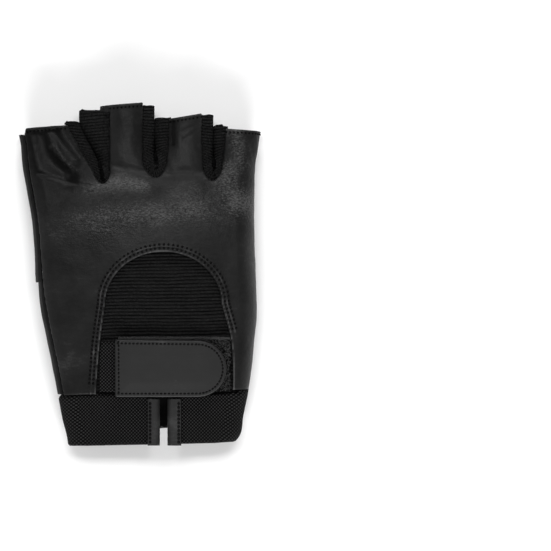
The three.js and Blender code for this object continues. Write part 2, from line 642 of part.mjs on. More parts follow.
// The thumb's leather shell, open at the hem and towards the palm.
function thumbShell() {
  const rows = THUMB.map((row) => row.y);
  const outer = solidOf(loftGeometry(rows.map((y) => thumbRing(y, 0))));
  const inner = solidOf(loftGeometry(rows.slice(1).map((y) => thumbRing(y, LEATHER))));
  const hem = THUMB_HEM;
  const slope = (hem.rightY - hem.leftY) / (hem.rightX - hem.leftX);
  const hemAt = (x) => hem.leftY + slope * (x - hem.leftX);
  const beyondHem = prism([[-60, hemAt(-60)], [40, hemAt(40)], [40, BEYOND], [-60, BEYOND]]);
  const towardsPalm = prism(thumbHole(HOLE_INSET), THUMB_TOP / 2, 40);
  return outer.subtract(inner).subtract(towardsPalm).subtract(beyondHem);
}

// The region right of the thumb's strip seam, moved right by a shift.
function rightOfThumbSeam(shift) {
  const seam = THUMB_STRIP;
  const slope = (seam.topX - seam.bottomX) / (seam.topY - seam.bottomY);
  const at = (y) => seam.bottomX + slope * (y - seam.bottomY) + shift;
  return prism([[at(-70), -70], [60, -70], [60, 60], [at(60), 60]]);
}

// How far up the cuff reaches at place p: tucked under the leather, and between the arch's legs up to the
// ribbed panel.
function cuffTop(p, x) {
  if (p > 3) return lineAt(CUFF_SEAM_PALM, x) + CUFF_TUCK;
  const tucked = lineAt(CUFF_SEAM_BACK, x) + CUFF_TUCK;
  const edges = archEdges(PANEL_BOTTOM_Y, PANEL_MARGIN);
  const pastLeft = smoothstep(x, edges.left - 6, edges.left - 1);
  const pastRight = smoothstep(x, edges.right + 0.5, edges.right + 3);
  return lerp(tucked, CUFF_TOP_IN_ARCH, pastLeft * (1 - pastRight));
}

// Where the cuff ends at place p.
function cuffBottom(p, x) {
  const share = clamp((x - hand.left(-80)) / (hand.right(-80) - hand.left(-80)), 0, 1);
  const back = lerp(CUFF_END.backLeft, CUFF_END.backRight, share);
  const dip = Math.sin(Math.PI * clamp(share * 0.85, 0, 1));
  const palm = lerp(CUFF_END.palmLeft, CUFF_END.palmRight, share) + (CUFF_END.palmMiddle + 79.2) * dip;
  return p > 3 ? lerp(back, palm, smoothstep(p, 3, 4) * (1 - smoothstep(p, 5, 6))) : back;
}

// Where the cuff lies at u: 1 to 2 from the slit to the little-finger side, and 7 to 8 back to the slit.
function cuffX(u, y, slitLeft, slitRight) {
  if (u < 2) return lerp(slitRight, hand.right(y) - SIDE_RADIUS, u - 1);
  if (u > 7) return lerp(hand.left(y) + SIDE_RADIUS, slitLeft, u - 7);
  return skin(u > 6 ? u - 6 : u, y).x;
}

// The woven elastic cuff: one band that starts and ends at the slit.
function cuffBand() {
  const inset = BINDING_LEATHER + 2 * BINDING_GAP;
  const [slitLeft, slitRight] = BINDINGS.map(({ edge, towards }) => edge + towards * inset);
  const us = [...steps(1, 2, 6), 2.25, 2.5, 2.75, 3, 3.25, 3.5, 3.75, ...steps(4, 5, 9)];
  us.push(5.25, 5.5, 5.75, 6, 6.25, 6.5, 6.75, ...steps(7, 8, 7));
  const surface = (u, v) => {
    const turn = u > 6 ? u - 6 : u;
    const x = cuffX(u, -70, slitLeft, slitRight);
    const y = lerp(cuffBottom(turn, x), cuffTop(turn, x), v);
    const onBack = u < 2 || u > 7;
    const p = onBack ? backPlace(cuffX(u, y, slitLeft, slitRight), y) : turn;
    const seamY = p > 3 ? lineAt(CUFF_SEAM_PALM, x) : lineAt(CUFF_SEAM_BACK, x);
    const sunk = LEATHER + CUFF_GAP;
    return skinAt(p, y, -sunk * smoothstep(y, seamY - 8, seamY - 1));
  };
  return sheetGeometry({ surface, us, vs: [0, 0.35, 0.65, 0.8, 0.9, 1], thickness: ELASTIC });
}

// A leather strip folded round one edge of the slit.
function ventBinding({ edge, width, towards }) {
  const bend = ELASTIC / 2 + BINDING_GAP + BINDING_LEATHER;
  const bendX = edge + towards * bend;
  const farX = edge + towards * width;
  const surface = (u, y) => {
    const turn = clamp(u - 1, 0, 1) * Math.PI;
    const straight = u < 1 ? lerp(farX, bendX, u) : lerp(bendX, farX, u - 2);
    const x = u < 1 || u > 2 ? straight : bendX - towards * bend * Math.sin(turn);
    const seamY = lineAt(CUFF_SEAM_BACK, x);
    const sunk = (LEATHER + CUFF_GAP) * smoothstep(y, seamY - 8, seamY - 1);
    return backAt(x, y, bend * Math.cos(turn) - ELASTIC / 2 - sunk);
  };
  const us = [0, 1, 1.25, 1.5, 1.75, 2, 3];
  const mirrored = towards > 0;
  const turned = mirrored ? (u, y) => surface(3 - u, y) : surface;
  const vs = steps(BINDING_BOTTOM, BINDING_TOP, 4);
  return sheetGeometry({ surface: turned, us, vs, thickness: BINDING_LEATHER });
}

// Heights of the strap's layers above the back's skin.
const STRAP_LEVEL = HOOK_TAPE - LEATHER;

// A flat layer of the strap over the arch, kept clear of the opening's edges.
function strapLayer({ left, right, bottom, top }, columns, rows) {
  const surface = (u, y) => {
    const edges = archEdges(y, -GAP);
    return backAt(lerp(Math.max(left, edges.left), Math.min(right, edges.right), u), y, STRAP_LEVEL);
  };
  const us = steps(0, 1, columns);
  return sheetGeometry({ surface, us, vs: steps(bottom, top, rows), thickness: HOOK_TAPE });
}

// The strap tab, with its right end fully round.
function strapTab() {
  const { left, right, bottom, top } = STRAP_TAB;
  const radius = (top - bottom) / 2;
  const surface = (u, turn) => {
    const y = (top + bottom) / 2 + radius * Math.sin(turn);
    return backAt(lerp(left, right - radius + radius * Math.cos(turn), u), y, STRAP_LEVEL + GAP + TAB);
  };
  const edge = THREE.MathUtils.degToRad(89.9);
  return sheetGeometry({ surface, us: steps(0, 1, 7), vs: steps(-edge, edge, 10), thickness: TAB });
}

const glove = new THREE.Group();
glove.name = "weightlifting_glove";

// Adds a named piece to the glove.
function addPiece(name, geometry, look) {
  geometry.computeVertexNormals();
  const mesh = new THREE.Mesh(geometry, new THREE.MeshStandardMaterial({ ...look, metalness: 0 }));
  mesh.name = name;
  glove.add(mesh);
}

addPiece("back_panel", backPanel(), LEATHER_LOOK);
addPiece("arch_panel", archPanel(), WOVEN_LOOK);
addPiece("index_strip_upper", indexStrip(-3.4, 66.2, 9), LEATHER_LOOK);
addPiece("index_strip_lower", indexStrip(-57.4, -3.8, 6), LEATHER_LOOK);
VALLEYS.forEach((valley, i) => addPiece("gusset_" + valley.name, gusset(i), KNIT_LOOK));

const palm = palmSheet();
addPiece("palm_upper", geometryOf(palm.intersect(abovePalmSeam(0))), LEATHER_LOOK);
addPiece("palm_middle", geometryOf(palm.subtract(abovePalmSeam(GAP))), LEATHER_LOOK);
addPiece("palm_heel", palmHeel(), LEATHER_LOOK);
addPiece("palm_overlay", palmOverlay(), LEATHER_LOOK);

const shell = thumbShell();
addPiece("thumb_wrap", geometryOf(shell.subtract(rightOfThumbSeam(0))), LEATHER_LOOK);
addPiece("thumb_strip", geometryOf(shell.intersect(rightOfThumbSeam(GAP))), LEATHER_LOOK);

addPiece("cuff_band", cuffBand(), WOVEN_LOOK);
for (const binding of BINDINGS) addPiece(binding.name, ventBinding(binding), LEATHER_LOOK);
addPiece("strap_base", strapLayer(STRAP_BASE, 3, 4), WOVEN_LOOK);
addPiece("loop_patch", strapLayer(LOOP_PATCH, 8, 4), LOOP_LOOK);
addPiece("strap_tab", strapTab(), TAB_LOOK);

export default glove;
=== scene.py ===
"""The looks of a fingerless weightlifting glove that lies back up on a pale floor.

Lengths inside the classes are millimetres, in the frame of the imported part: +Y from the wrist to the
fingers, +X to the little finger, +Z up. Meshes are written in metres.
"""

import logging
import math
from collections.abc import Callable, Sequence
from dataclasses import dataclass
from enum import Enum

import bmesh
import bpy
import numpy as np
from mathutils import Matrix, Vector


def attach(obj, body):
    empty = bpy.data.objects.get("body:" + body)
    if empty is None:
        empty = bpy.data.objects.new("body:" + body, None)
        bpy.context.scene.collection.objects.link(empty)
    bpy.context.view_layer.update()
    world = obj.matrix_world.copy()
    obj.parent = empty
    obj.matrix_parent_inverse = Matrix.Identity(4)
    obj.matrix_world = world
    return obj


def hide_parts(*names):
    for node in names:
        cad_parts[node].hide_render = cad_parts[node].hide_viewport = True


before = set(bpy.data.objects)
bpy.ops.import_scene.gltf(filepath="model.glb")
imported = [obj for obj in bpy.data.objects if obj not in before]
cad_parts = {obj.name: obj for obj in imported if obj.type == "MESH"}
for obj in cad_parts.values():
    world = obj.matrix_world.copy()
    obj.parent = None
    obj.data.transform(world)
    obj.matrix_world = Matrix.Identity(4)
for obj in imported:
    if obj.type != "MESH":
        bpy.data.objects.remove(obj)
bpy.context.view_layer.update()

log = logging.getLogger("glove")
MM = 0.001
CROTCH_POWER = 1.55
Array = np.ndarray
Place = tuple[float, float]
Ends = tuple[Place, Place]
Box = tuple[float, float, float, float]
Rows = tuple[float, ...]
Surface = Callable[[Array, Array], Array]
Relief = Callable[[Array, Array], Array]
Socket = bpy.types.NodeSocket


def smoothstep(value: Array, low: float, high: float) -> Array:
    """Rise smoothly from 0 at low to 1 at high.

    Args:
        value: Where to read the curve.
        low: The value at and below which it is 0.
        high: The value at and above which it is 1.

    Returns:
        The share between 0 and 1.
    """
    share = np.clip((value - low) / (high - low), 0, 1)
    return share * share * (3 - 2 * share)


def hump(value: Array, width: float) -> Array:
    """Return a bell of height 1 at 0 that has faded out at about twice its width."""
    return np.exp(-((value / width) ** 2))


class Curve:
    """A smooth curve through knots, flat beyond its ends."""

    def __init__(self, knots: Sequence[float], values: Sequence[float]) -> None:
        """Work out the slope at each knot.

        Args:
            knots: Rising places of the knots.
            values: The curve's value at each knot.
        """
        self.knots = np.array(knots, float)
        self.values = np.array(values, float)
        rise = np.empty_like(self.values)
        rise[1:-1] = (self.values[2:] - self.values[:-2]) / (self.knots[2:] - self.knots[:-2])
        rise[0] = (self.values[1] - self.values[0]) / (self.knots[1] - self.knots[0])
        rise[-1] = (self.values[-1] - self.values[-2]) / (self.knots[-1] - self.knots[-2])
        self.rise = rise

    def __call__(self, at: Array | float) -> Array:
        """Read the curve.

        Args:
            at: One place or an array of them.

        Returns:
            The values there.
        """
        place = np.clip(at, self.knots[0], self.knots[-1])
        i = np.clip(np.searchsorted(self.knots, place) - 1, 0, len(self.knots) - 2)
        span = self.knots[i + 1] - self.knots[i]
        t = (place - self.knots[i]) / span
        rising = t * t * (3 - 2 * t)
        bend = t * (1 - t) * ((1 - t) * self.rise[i] - t * self.rise[i + 1]) * span
        return self.values[i] + (self.values[i + 1] - self.values[i]) * rising + bend


class Outline:
    """A line or closed outline in a piece's plane, made of short straight stretches."""

    def __init__(self, points: Sequence[Sequence[float]], closed: bool = True) -> None:
        """Keep the outline's stretches.

        Args:
            points: Corners in order.
            closed: Whether the last corner joins the first.
        """
        corners = np.array(points, float)
        self.points = corners
        self.start = corners if closed else corners[:-1]
        self.end = np.roll(corners, -1, axis=0) if closed else corners[1:]
        lengths = np.hypot(*(self.end - self.start).T)
        self.lengths = lengths
        self.before = np.concatenate([[0], np.cumsum(lengths)[:-1]])

    def nearest(self, x: Array, y: Array) -> tuple[Array, Array, Array, Array]:
        """Find the nearest place of the outline.

        Args:
            x: Places across.
            y: Places along.

        Returns:
            The distance, the nearest place's x and y, and how far along the outline it is.
        """
        best = np.full(x.shape, np.inf)
        near_x, near_y, along = np.zeros_like(best), np.zeros_like(best), np.zeros_like(best)
        for start, end, length, before in zip(self.start, self.end, self.lengths, self.before):
            if length < 1e-9:
                continue
            way = (end - start) / length
            t = np.clip((x - start[0]) * way[0] + (y - start[1]) * way[1], 0, length)
            px, py = start[0] + t * way[0], start[1] + t * way[1]
            away = np.hypot(x - px, y - py)
            closer = away < best
            best = np.where(closer, away, best)
            near_x, near_y = np.where(closer, px, near_x), np.where(closer, py, near_y)
            along = np.where(closer, before + t, along)
        return best, near_x, near_y, along

    def inside(self, x: Array, y: Array) -> Array:
        """Return which places lie inside the closed outline."""
        odd = np.zeros(x.shape, bool)
        for (ax, ay), (bx, by) in zip(self.start, self.end):
            if ay == by:
                continue
            crosses = (ay > y) != (by > y)
            odd ^= crosses & (x < ax + (y - ay) / (by - ay) * (bx - ax))
        return odd

    def spaced(self, pitch: float, inset: float = 0.0) -> tuple[Array, Array]:
        """Walk the outline in equal steps.

        Args:
            pitch: The length of a step.
            inset: How far to the left of the way the places are moved.

        Returns:
            The places and the unit directions there, one row each.
        """
        total = self.lengths.sum()
        stops = (np.arange(int(total / pitch)) + 0.5) * pitch
        i = np.clip(np.searchsorted(self.before, stops) - 1, 0, len(self.lengths) - 1)
        way = (self.end - self.start) / np.maximum(self.lengths, 1e-9)[:, None]
        smooth = way + np.roll(way, 1, axis=0) * 0.5 + np.roll(way, -1, axis=0) * 0.5
        smooth[0], smooth[-1] = way[0], way[-1]
        facing = smooth[i] / np.hypot(*smooth[i].T)[:, None]
        places = self.start[i] + way[i] * (stops - self.before[i])[:, None]
        left = np.stack([-facing[:, 1], facing[:, 0]], axis=1)
        return places + left * inset, facing


def open_line(points: Sequence[Sequence[float]]) -> Outline:
    """Return an outline that stays open."""
    return Outline(points, closed=False)


class Noise:
    """Smooth seeded noise over a plane, between -1 and 1."""

    SIZE = 64

    def __init__(self, seed: int) -> None:
        """Draw the lattice from a seed."""
        self.lattice = np.random.default_rng(seed).uniform(-1, 1, (self.SIZE, self.SIZE))

    def __call__(self, x: Array, y: Array, scale: float, stretch: float = 1.0) -> Array:
        """Read the noise.

        Args:
            x: Places across.
            y: Places along.
            scale: The size of its lumps across.
            stretch: How many times longer the lumps are along y.

        Returns:
            The noise there.
        """
        gx, gy = x / scale + 17.3, y / (scale * stretch) + 9.1
        ix, iy = np.floor(gx).astype(int), np.floor(gy).astype(int)
        fx, fy = gx - ix, gy - iy
        fx, fy = fx * fx * (3 - 2 * fx), fy * fy * (3 - 2 * fy)
        n = self.SIZE
        a, b = self.lattice[ix % n, iy % n], self.lattice[(ix + 1) % n, iy % n]
        c, d = self.lattice[ix % n, (iy + 1) % n], self.lattice[(ix + 1) % n, (iy + 1) % n]
        return (a + (b - a) * fx) * (1 - fy) + (c + (d - c) * fx) * fy


@dataclass(frozen=True)
class Station:
    """A cross-section of the hand: its outline, its back's shape and its palm's height."""

    y: float
    left: float
    right: float
    crown: float
    droop: float
    mid_left: float
    mid_right: float
    base: float


@dataclass(frozen=True)
class Slot:
    """The cut between two fingers, from one hem (a) round the crotch to the next hem (b)."""

    a_hem_x: float
    a_hem_y: float
    a_turn_x: float
    crotch_x: float
    crotch_y: float
    rise: float
    b_turn_x: float
    b_hem_x: float
    b_hem_y: float

    def edges(self, y: Array) -> tuple[Array, Array]:
        """Return the slot's two edges at y; below the crotch both are its middle."""
        turn_y = self.crotch_y + self.rise
        down = np.clip((turn_y - y) / self.rise, 0, 1)
        wide = (1 - down**CROTCH_POWER) ** (1 / CROTCH_POWER)

        def edge(turn_x: float, hem_x: float, hem_y: float) -> Array:
            """Return one edge, straight above the crotch's bend and round below."""
            straight = turn_x + (hem_x - turn_x) * ((y - turn_y) / (hem_y - turn_y))
            return np.where(y >= turn_y, straight, self.crotch_x + (turn_x - self.crotch_x) * wide)

        first = edge(self.a_turn_x, self.a_hem_x, self.a_hem_y)
        return first, edge(self.b_turn_x, self.b_hem_x, self.b_hem_y)

    def path(self, s: Array, hem_a: float | None = None, hem_b: float | None = None) -> tuple[Array, Array]:
        """Follow the slot's edge.

        Args:
            s: 0 to 0.4 down one finger, 0.4 to 0.6 round the crotch, and then up the next finger.
            hem_a: Where the path starts, if not at the slot's own hem.
            hem_b: Where it ends, if not at the slot's own hem.

        Returns:
            The x and y of the places.
        """
        turn_y = self.crotch_y + self.rise
        first = self.a_hem_y if hem_a is None else hem_a
        last = self.b_hem_y if hem_b is None else hem_b
        y_a = first + (turn_y - first) * np.clip(s / 0.4, -1, 1)
        y_b = turn_y + (last - turn_y) * np.clip((s - 0.6) / 0.4, 0, 2)
        angle = np.clip((s - 0.4) / 0.2, 0, 1) * math.pi
        side = np.where(angle < math.pi / 2, self.a_turn_x, self.b_turn_x)
        round_x = self.crotch_x + (side - self.crotch_x) * np.abs(np.cos(angle)) ** (2 / CROTCH_POWER)
        round_y = self.crotch_y + self.rise * (1 - np.clip(np.sin(angle), 0, 1) ** (2 / CROTCH_POWER))
        x = np.where(s < 0.4, self.edges(y_a)[0], np.where(s > 0.6, self.edges(y_b)[1], round_x))
        y = np.where(s < 0.4, y_a, np.where(s > 0.6, y_b, round_y))
        return x, y


@dataclass(frozen=True)
class Crease:
    """A dent or fold pressed into the leather along a line."""

    points: tuple[Place, ...]
    depth: float
    width: float

    def line(self) -> Outline:
        """Return the fold's middle as one smooth line."""
        stops = range(len(self.points))
        places = np.linspace(0, len(self.points) - 1, 6 * len(self.points))
        across = Curve(stops, [x for x, _y in self.points])(places)
        along = Curve(stops, [y for _x, y in self.points])(places)
        return Outline(np.stack([across, along], axis=1), closed=False)

    def pressed(self, x: Array, y: Array) -> Array:
        """Return how deep the leather is pressed at each place."""
        return self.depth * self.share(x, y)

    def share(self, x: Array, y: Array, spread: float = 1.0) -> Array:
        """Return 1 in the middle of the fold, fading to 0 away from it."""
        x, y = np.broadcast_arrays(np.asarray(x, float), np.asarray(y, float))
        return hump(self.line().nearest(x, y)[0], self.width * spread)


def column(rows: Sequence[object], name: str) -> Curve:
    """Return one column of a table of cross-sections as a curve along y."""
    return Curve([row.y for row in rows], [getattr(row, name) for row in rows])


HAND = (
    Station(-82.3, -33.8, 44.2, 19.0, 0.1, 8.5, 8.2, 0.0),
    Station(-76.8, -35.0, 48.6, 19.2, 0.11, 8.6, 8.2, 0.0),
    Station(-67.7, -37.1, 50.0, 19.8, 0.13, 9.0, 8.4, 0.0),
    Station(-58.0, -39.0, 51.9, 21.0, 0.15, 9.8, 8.6, 0.2),
    Station(-45.0, -41.4, 53.9, 23.4, 0.18, 11.0, 8.8, 0.9),
    Station(-32.0, -44.1, 55.1, 25.2, 0.2, 11.8, 9.0, 1.6),
    Station(-19.7, -46.6, 56.4, 26.4, 0.21, 12.2, 9.0, 1.6),
    Station(-8.0, -48.4, 56.2, 27.2, 0.22, 12.2, 9.0, 1.6),
    Station(8.2, -49.9, 55.6, 27.4, 0.23, 11.8, 8.9, 1.6),
    Station(24.5, -51.2, 55.1, 25.8, 0.24, 10.8, 8.6, 1.5),
    Station(37.0, -53.3, 55.3, 23.0, 0.24, 9.8, 8.3, 0.6),
    Station(50.4, -55.7, 55.6, 20.0, 0.2, 9.0, 8.0, 0.0),
    Station(60.5, -56.6, 56.8, 18.6, 0.16, 8.6, 7.8, 0.0),
    Station(68.5, -57.9, 57.9, 17.8, 0.14, 8.4, 7.6, 0.0),
    Station(84.0, -58.6, 58.8, 17.0, 0.12, 8.2, 7.4, 0.0),
)
BACK_SLOTS = (
    Slot(-33.8, 71.4, -20.8, -17.2, 43.7, 5.0, -14.3, -14.9, 80.9),
    Slot(2.2, 82.2, 2.2, 8.3, 46.5, 7.5, 13.0, 13.9, 74.2),
    Slot(30.4, 77.0, 30.9, 35.3, 45.0, 6.5, 39.5, 41.0, 69.7),
)
PALM_SLOTS = (
    Slot(-31.0, 69.0, -22.5, -19.1, 42.1, 5.0, -16.6, -15.6, 76.6),
    Slot(-0.6, 77.6, 1.4, 6.9, 42.2, 7.0, 12.2, 12.6, 72.4),
    Slot(27.8, 73.2, 29.2, 33.6, 40.2, 6.5, 38.8, 41.4, 68.1),
)
BACK_CREASES = (
    Crease(((-46.9, 66.5), (-44.5, 58.5), (-40.5, 52.3), (-34.3, 46.8)), 1.7, 4.4),
    Crease(((-40.6, 68.0), (-35.9, 61.6), (-31.0, 55.0)), 1.2, 3.0),
    Crease(((-47.8, 48.0), (-40.0, 46.0), (-31.0, 43.4), (-21.4, 42.2)), 0.42, 1.1),
    Crease(((-13.0, 52.3), (4.0, 48.7)), 0.8, 1.5),
    Crease(((14.0, 48.5), (30.5, 49.2)), 0.6, 2.2),
    Crease(((-36.0, 28.0), (-10.0, 31.5), (12.0, 36.5), (26.0, 41.0)), -0.5, 4.5),
    Crease(((16.4, 73.0), (16.2, 62.5)), 0.7, 1.8),
    Crease(((21.0, 64.0), (29.0, 69.4)), 0.28, 0.8),
    Crease(((20.0, 67.8), (28.6, 72.0)), 0.22, 0.8),
    Crease(((44.0, 61.0), (54.0, 66.5)), 0.28, 0.9),
    Crease(((45.0, 55.0), (55.0, 59.5)), 0.24, 0.9),
)
PALM_CREASES = (
    Crease(((14.0, -36.0), (34.0, -44.0)), 0.8, 3.0),
    Crease(((12.0, -45.0), (28.0, -52.0)), 0.8, 3.0),
    Crease(((20.0, 16.0), (40.0, 8.0)), 0.7, 3.0),
)

LEATHER = 1.2
OVERLAY = 1.0
OVERLAY_GAP = 0.45
KNIT = 1.0
KNIT_GAP = 0.7
GAP = 0.35


@dataclass
class Hand:
    """The glove's outer skin as a whole, which its pieces are cut from; its palm rises over the thumb."""

    thumb: "ThumbForm"
    side_radius: float = 9.0
    droop_power: float = 2.4
    finger_drop: float = 3.4
    shoulder: float = 8.0
    lift_reach: float = 16.0

    def __post_init__(self) -> None:
        """Read the table of cross-sections and lay out the palm's seams."""
        self.left, self.right = column(HAND, "left"), column(HAND, "right")
        self.crown, self.droop = column(HAND, "crown"), column(HAND, "droop")
        self.mid_left, self.mid_right = column(HAND, "mid_left"), column(HAND, "mid_right")
        self.base = column(HAND, "base")
        self.overlay_lower = Curve([-58.0, -31.5, 6.1, 60.0], [-0.6, 1.0, -28.8, -30.0])
        self.overlay_upper = Curve([-58.0, -24.1, 14.0, 60.0], [20.8, 19.5, 9.8, -24.0])
        self.palm_seam = Curve(
            [-60.0, -19.1, -7.7, 5.1, 17.4, 29.5, 60.0], [43.2, 43.0, 36.3, 29.5, 25.7, 24.2, 20.4]
        )

    def dip(self, slots: Sequence[Slot], x: Array, y: Array) -> Array:
        """Return how far the leather drops beside the slots, so that each finger is rounded."""
        total = np.zeros(np.broadcast(x, y).shape)
        for slot in slots:
            a, b = slot.edges(y)
            away = np.hypot(x - (a + b) / 2, 1.5)
            inside = np.clip(((b - a) / 2 + self.shoulder - away) / self.shoulder, 0, 1.3)
            total = total + smoothstep(y, slot.crotch_y - 10, slot.crotch_y + 20) * inside * inside
        return total * self.finger_drop

    def back_height(self, x: Array, y: Array) -> Array:
        """Return the back's outer height before its side edges round off."""
        left, right = self.left(y), self.right(y)
        across = np.abs(x - (left + right) / 2) / ((right - left) / 2)
        dome = self.crown(y) * (1 - self.droop(y) * across**self.droop_power)
        pressed = sum(crease.pressed(x, y) for crease in BACK_CREASES)
        return dome - self.dip(BACK_SLOTS, x, y) - pressed

    def palm_height(self, x: Array, y: Array) -> Array:
        """Return the palm's outer height: low at the sides, and raised over the folded thumb."""
        over = 1 - smoothstep(self.thumb.distance_outside(x, y), 0, self.lift_reach)
        above_hole = smoothstep(y - self.overlay_lower(x), -2.5, -0.4)
        on_thumb = self.thumb.top + GAP + above_hole * (OVERLAY + OVERLAY_GAP)
        pressed = sum(crease.pressed(x, y) for crease in PALM_CREASES)
        low = self.base(y) + 0.8 * self.dip(PALM_SLOTS, x, y) + pressed
        return np.maximum(low + (on_thumb - low) * over, 0)

    def section(self, q: Array, y: Array, palm: bool) -> Array:
        """Place points on one half of the skin.

        Args:
            q: 0 to 1 round the left side, 1 to 2 across, 2 to 3 round the right side.
            y: Places along the hand.
            palm: True for the palm half, False for the back.

        Returns:
            The points, one row each.
        """
        left, right, r = self.left(y), self.right(y), self.side_radius
        turn = np.where(q < 1, q, np.where(q > 2, 3 - q, 1)) * math.pi / 2
        inset = r * (1 - np.cos(turn))
        flat = left + r + (right - left - 2 * r) * (q - 1)
        x = np.where(q < 1, left + inset, np.where(q > 2, right - inset, flat))
        mid = self.mid_left(y) + (self.mid_right(y) - self.mid_left(y)) * (x - left) / (right - left)
        height = self.palm_height(x, y) if palm else self.back_height(x, y)
        return np.stack([x, y, mid + (height - mid) * np.sin(turn)], axis=-1)

    def skin(self, p: Array, y: Array) -> Array:
        """Return points at place p round the section: 0 to 3 over the back, 3 to 6 under the palm."""
        q = np.where(p < 0, -p, np.minimum(p, 6 - p))
        on_back = ((p >= 0) & (p <= 3))[..., None]
        return np.where(on_back, self.section(q, y, False), self.section(q, y, True))

    def place(self, x: Array, y: Array) -> Array:
        """Return the place round the back that lies at x."""
        left, right, r = self.left(y), self.right(y), self.side_radius
        near = np.arccos(np.clip(1 - (x - left) / r, -1, 1)) / (math.pi / 2)
        far = 3 - np.arccos(np.clip(1 - (right - x) / r, -1, 1)) / (math.pi / 2)
        flat = 1 + (x - left - r) / (right - left - 2 * r)
        return np.where(x < left + r, near, np.where(x > right - r, far, flat))

    def unrolled(self, q: Array, y: Array) -> Array:
        """Return how far across q lies when the round sides are unrolled flat."""
        left, right, r = self.left(y), self.right(y), self.side_radius
        quarter = r * math.pi / 2
        flat = left + r + (right - left - 2 * r) * (q - 1)
        near, far = left + r - (1 - q) * quarter, right - r + (q - 2) * quarter
        return np.where(q < 1, near, np.where(q > 2, far, flat))

    def rolled(self, w: Array, y: Array) -> Array:
        """Return the place q for a distance across the unrolled skin."""
        left, right, r = self.left(y), self.right(y), self.side_radius
        quarter = r * math.pi / 2
        flat = 1 + (w - left - r) / (right - left - 2 * r)
        near, far = 1 - (left + r - w) / quarter, 2 + (w - right + r) / quarter
        return np.where(w < left + r, near, np.where(w > right - r, far, flat))

    def back(self, w: Array, y: Array) -> Array:
        """Return points of the back over its unrolled plane, round the right side to the palm."""
        return self.skin(self.rolled(w, y), y)

    def palm(self, w: Array, y: Array) -> Array:
        """Return points of the palm over its unrolled plane."""
        return self.section(np.clip(self.rolled(w, y), 0, 3), y, True)

    def over(self, x: Array, y: Array) -> Array:
        """Return points of the back straight over x and y."""
        return self.skin(self.place(x, y), y)


def linked(name: str, data: bpy.types.ID) -> bpy.types.Object:
    """Return a new object of a mesh, light or camera, linked to the scene."""
    made = bpy.data.objects.new(name, data)
    bpy.context.scene.collection.objects.link(made)
    return made


def normals(surface: Surface, u: Array, v: Array) -> Array:
    """Return unit normals of a surface, on the side where u, v and the normal are right-handed."""
    small = 0.05
    along = surface(u + small, v) - surface(u - small, v)
    up = surface(u, v + small) - surface(u, v - small)
    facing = np.cross(along, up)
    return facing / np.maximum(np.linalg.norm(facing, axis=-1, keepdims=True), 1e-12)


def raised(surface: Surface, height: Array | float | Relief) -> Surface:
    """Return a surface moved along its normal by a height or by a relief."""

    def moved(u: Array, v: Array) -> Array:
        """Return the moved points."""
        lift = height(u, v) if callable(height) else np.full(np.broadcast(u, v).shape, float(height))
        return surface(u, v) + normals(surface, u, v) * lift[..., None]

    return moved


@dataclass(frozen=True)
class ThumbStation:
    """A cross-section of the folded thumb."""

    y: float
    left: float
    right: float
    floor: float


@dataclass
class ThumbForm:
    """The thumb, folded flat under the palm."""

    top: float = 9.5
    edge: float = 6.0
    hem: Ends = ((-20.8, 26.4), (12.6, 16.1))
    hole_line: Ends = ((-38.5, -4.9), (6.0, -28.8))
    strip_line: Ends = ((-2.9, -47.7), (9.2, 14.6))
    rows: tuple[ThumbStation, ...] = (
        ThumbStation(-51.9, -2.1, -1.9, 7.4),
        ThumbStation(-51.2, -4.0, -0.2, 5.6),
        ThumbStation(-49.6, -8.4, 3.0, 3.2),
        ThumbStation(-46.6, -13.6, 5.4, 1.4),
        ThumbStation(-41.0, -21.0, 8.0, 0.2),
        ThumbStation(-36.1, -25.2, 8.7, 0.0),
        ThumbStation(-28.5, -29.4, 8.6, 0.0),
        ThumbStation(-20.3, -32.7, 8.6, 0.0),
        ThumbStation(-12.0, -35.6, 8.8, 0.0),
        ThumbStation(-4.9, -37.0, 9.0, 0.0),
        ThumbStation(1.2, -33.4, 9.8, 0.0),
        ThumbStation(8.0, -29.4, 11.0, 0.0),
        ThumbStation(16.1, -25.2, 12.6, 0.0),
        ThumbStation(29.0, -20.0, 14.2, 0.0),
    )

    def __post_init__(self) -> None:
        """Read the table of the thumb's cross-sections."""
        self.left, self.right, self.floor = (column(self.rows, name) for name in ("left", "right", "floor"))
        low, high = self.hem[1][1], self.hem[0][1]
        right_side = [(row.right, row.y) for row in self.rows[1:] if row.y < low]
        left_side = [(row.left, row.y) for row in self.rows[1:] if row.y < high]
        self.outline = Outline([*right_side, self.hem[1], self.hem[0], *left_side[::-1]])

    def distance_outside(self, x: Array, y: Array) -> Array:
        """Return how far each place is outside the thumb's plan outline, 0 inside it."""
        x, y = np.broadcast_arrays(np.asarray(x, float), np.asarray(y, float))
        return np.where(self.outline.inside(x, y), 0, self.outline.nearest(x, y)[0])

    def skin(self, p: Array, y: Array) -> Array:
        """Return points round the thumb: p 0 to 3 over its top from left to right, 3 to 6 back beneath."""
        p = np.mod(p, 6)
        left, right, floor = self.left(y), self.right(y), self.floor(y)
        edge = np.minimum(self.edge, (right - left) / 2.2)
        q = np.minimum(p, 6 - p)
        turn = np.where(q < 1, q, np.where(q > 2, 3 - q, 1)) * math.pi / 2
        flat = left + edge + (right - left - 2 * edge) * (q - 1)
        inset = edge * (1 - np.cos(turn))
        x = np.where(q < 1, left + inset, np.where(q > 2, right - inset, flat))
        mid = (floor + self.top) / 2
        height = np.where(p <= 3, self.top, floor)
        return np.stack([x, y, mid + (height - mid) * np.sin(turn)], axis=-1)


THUMB = ThumbForm()
GLOVE = Hand(THUMB)


class SlotName(Enum):
    """The record's material slots."""

    LEATHER = "leather"
    TAB = "tab_leather"
    KNIT = "knit"
    RIBBED = "ribbed_elastic"
    WOVEN = "woven_elastic"
    LOOP = "loop_tape"


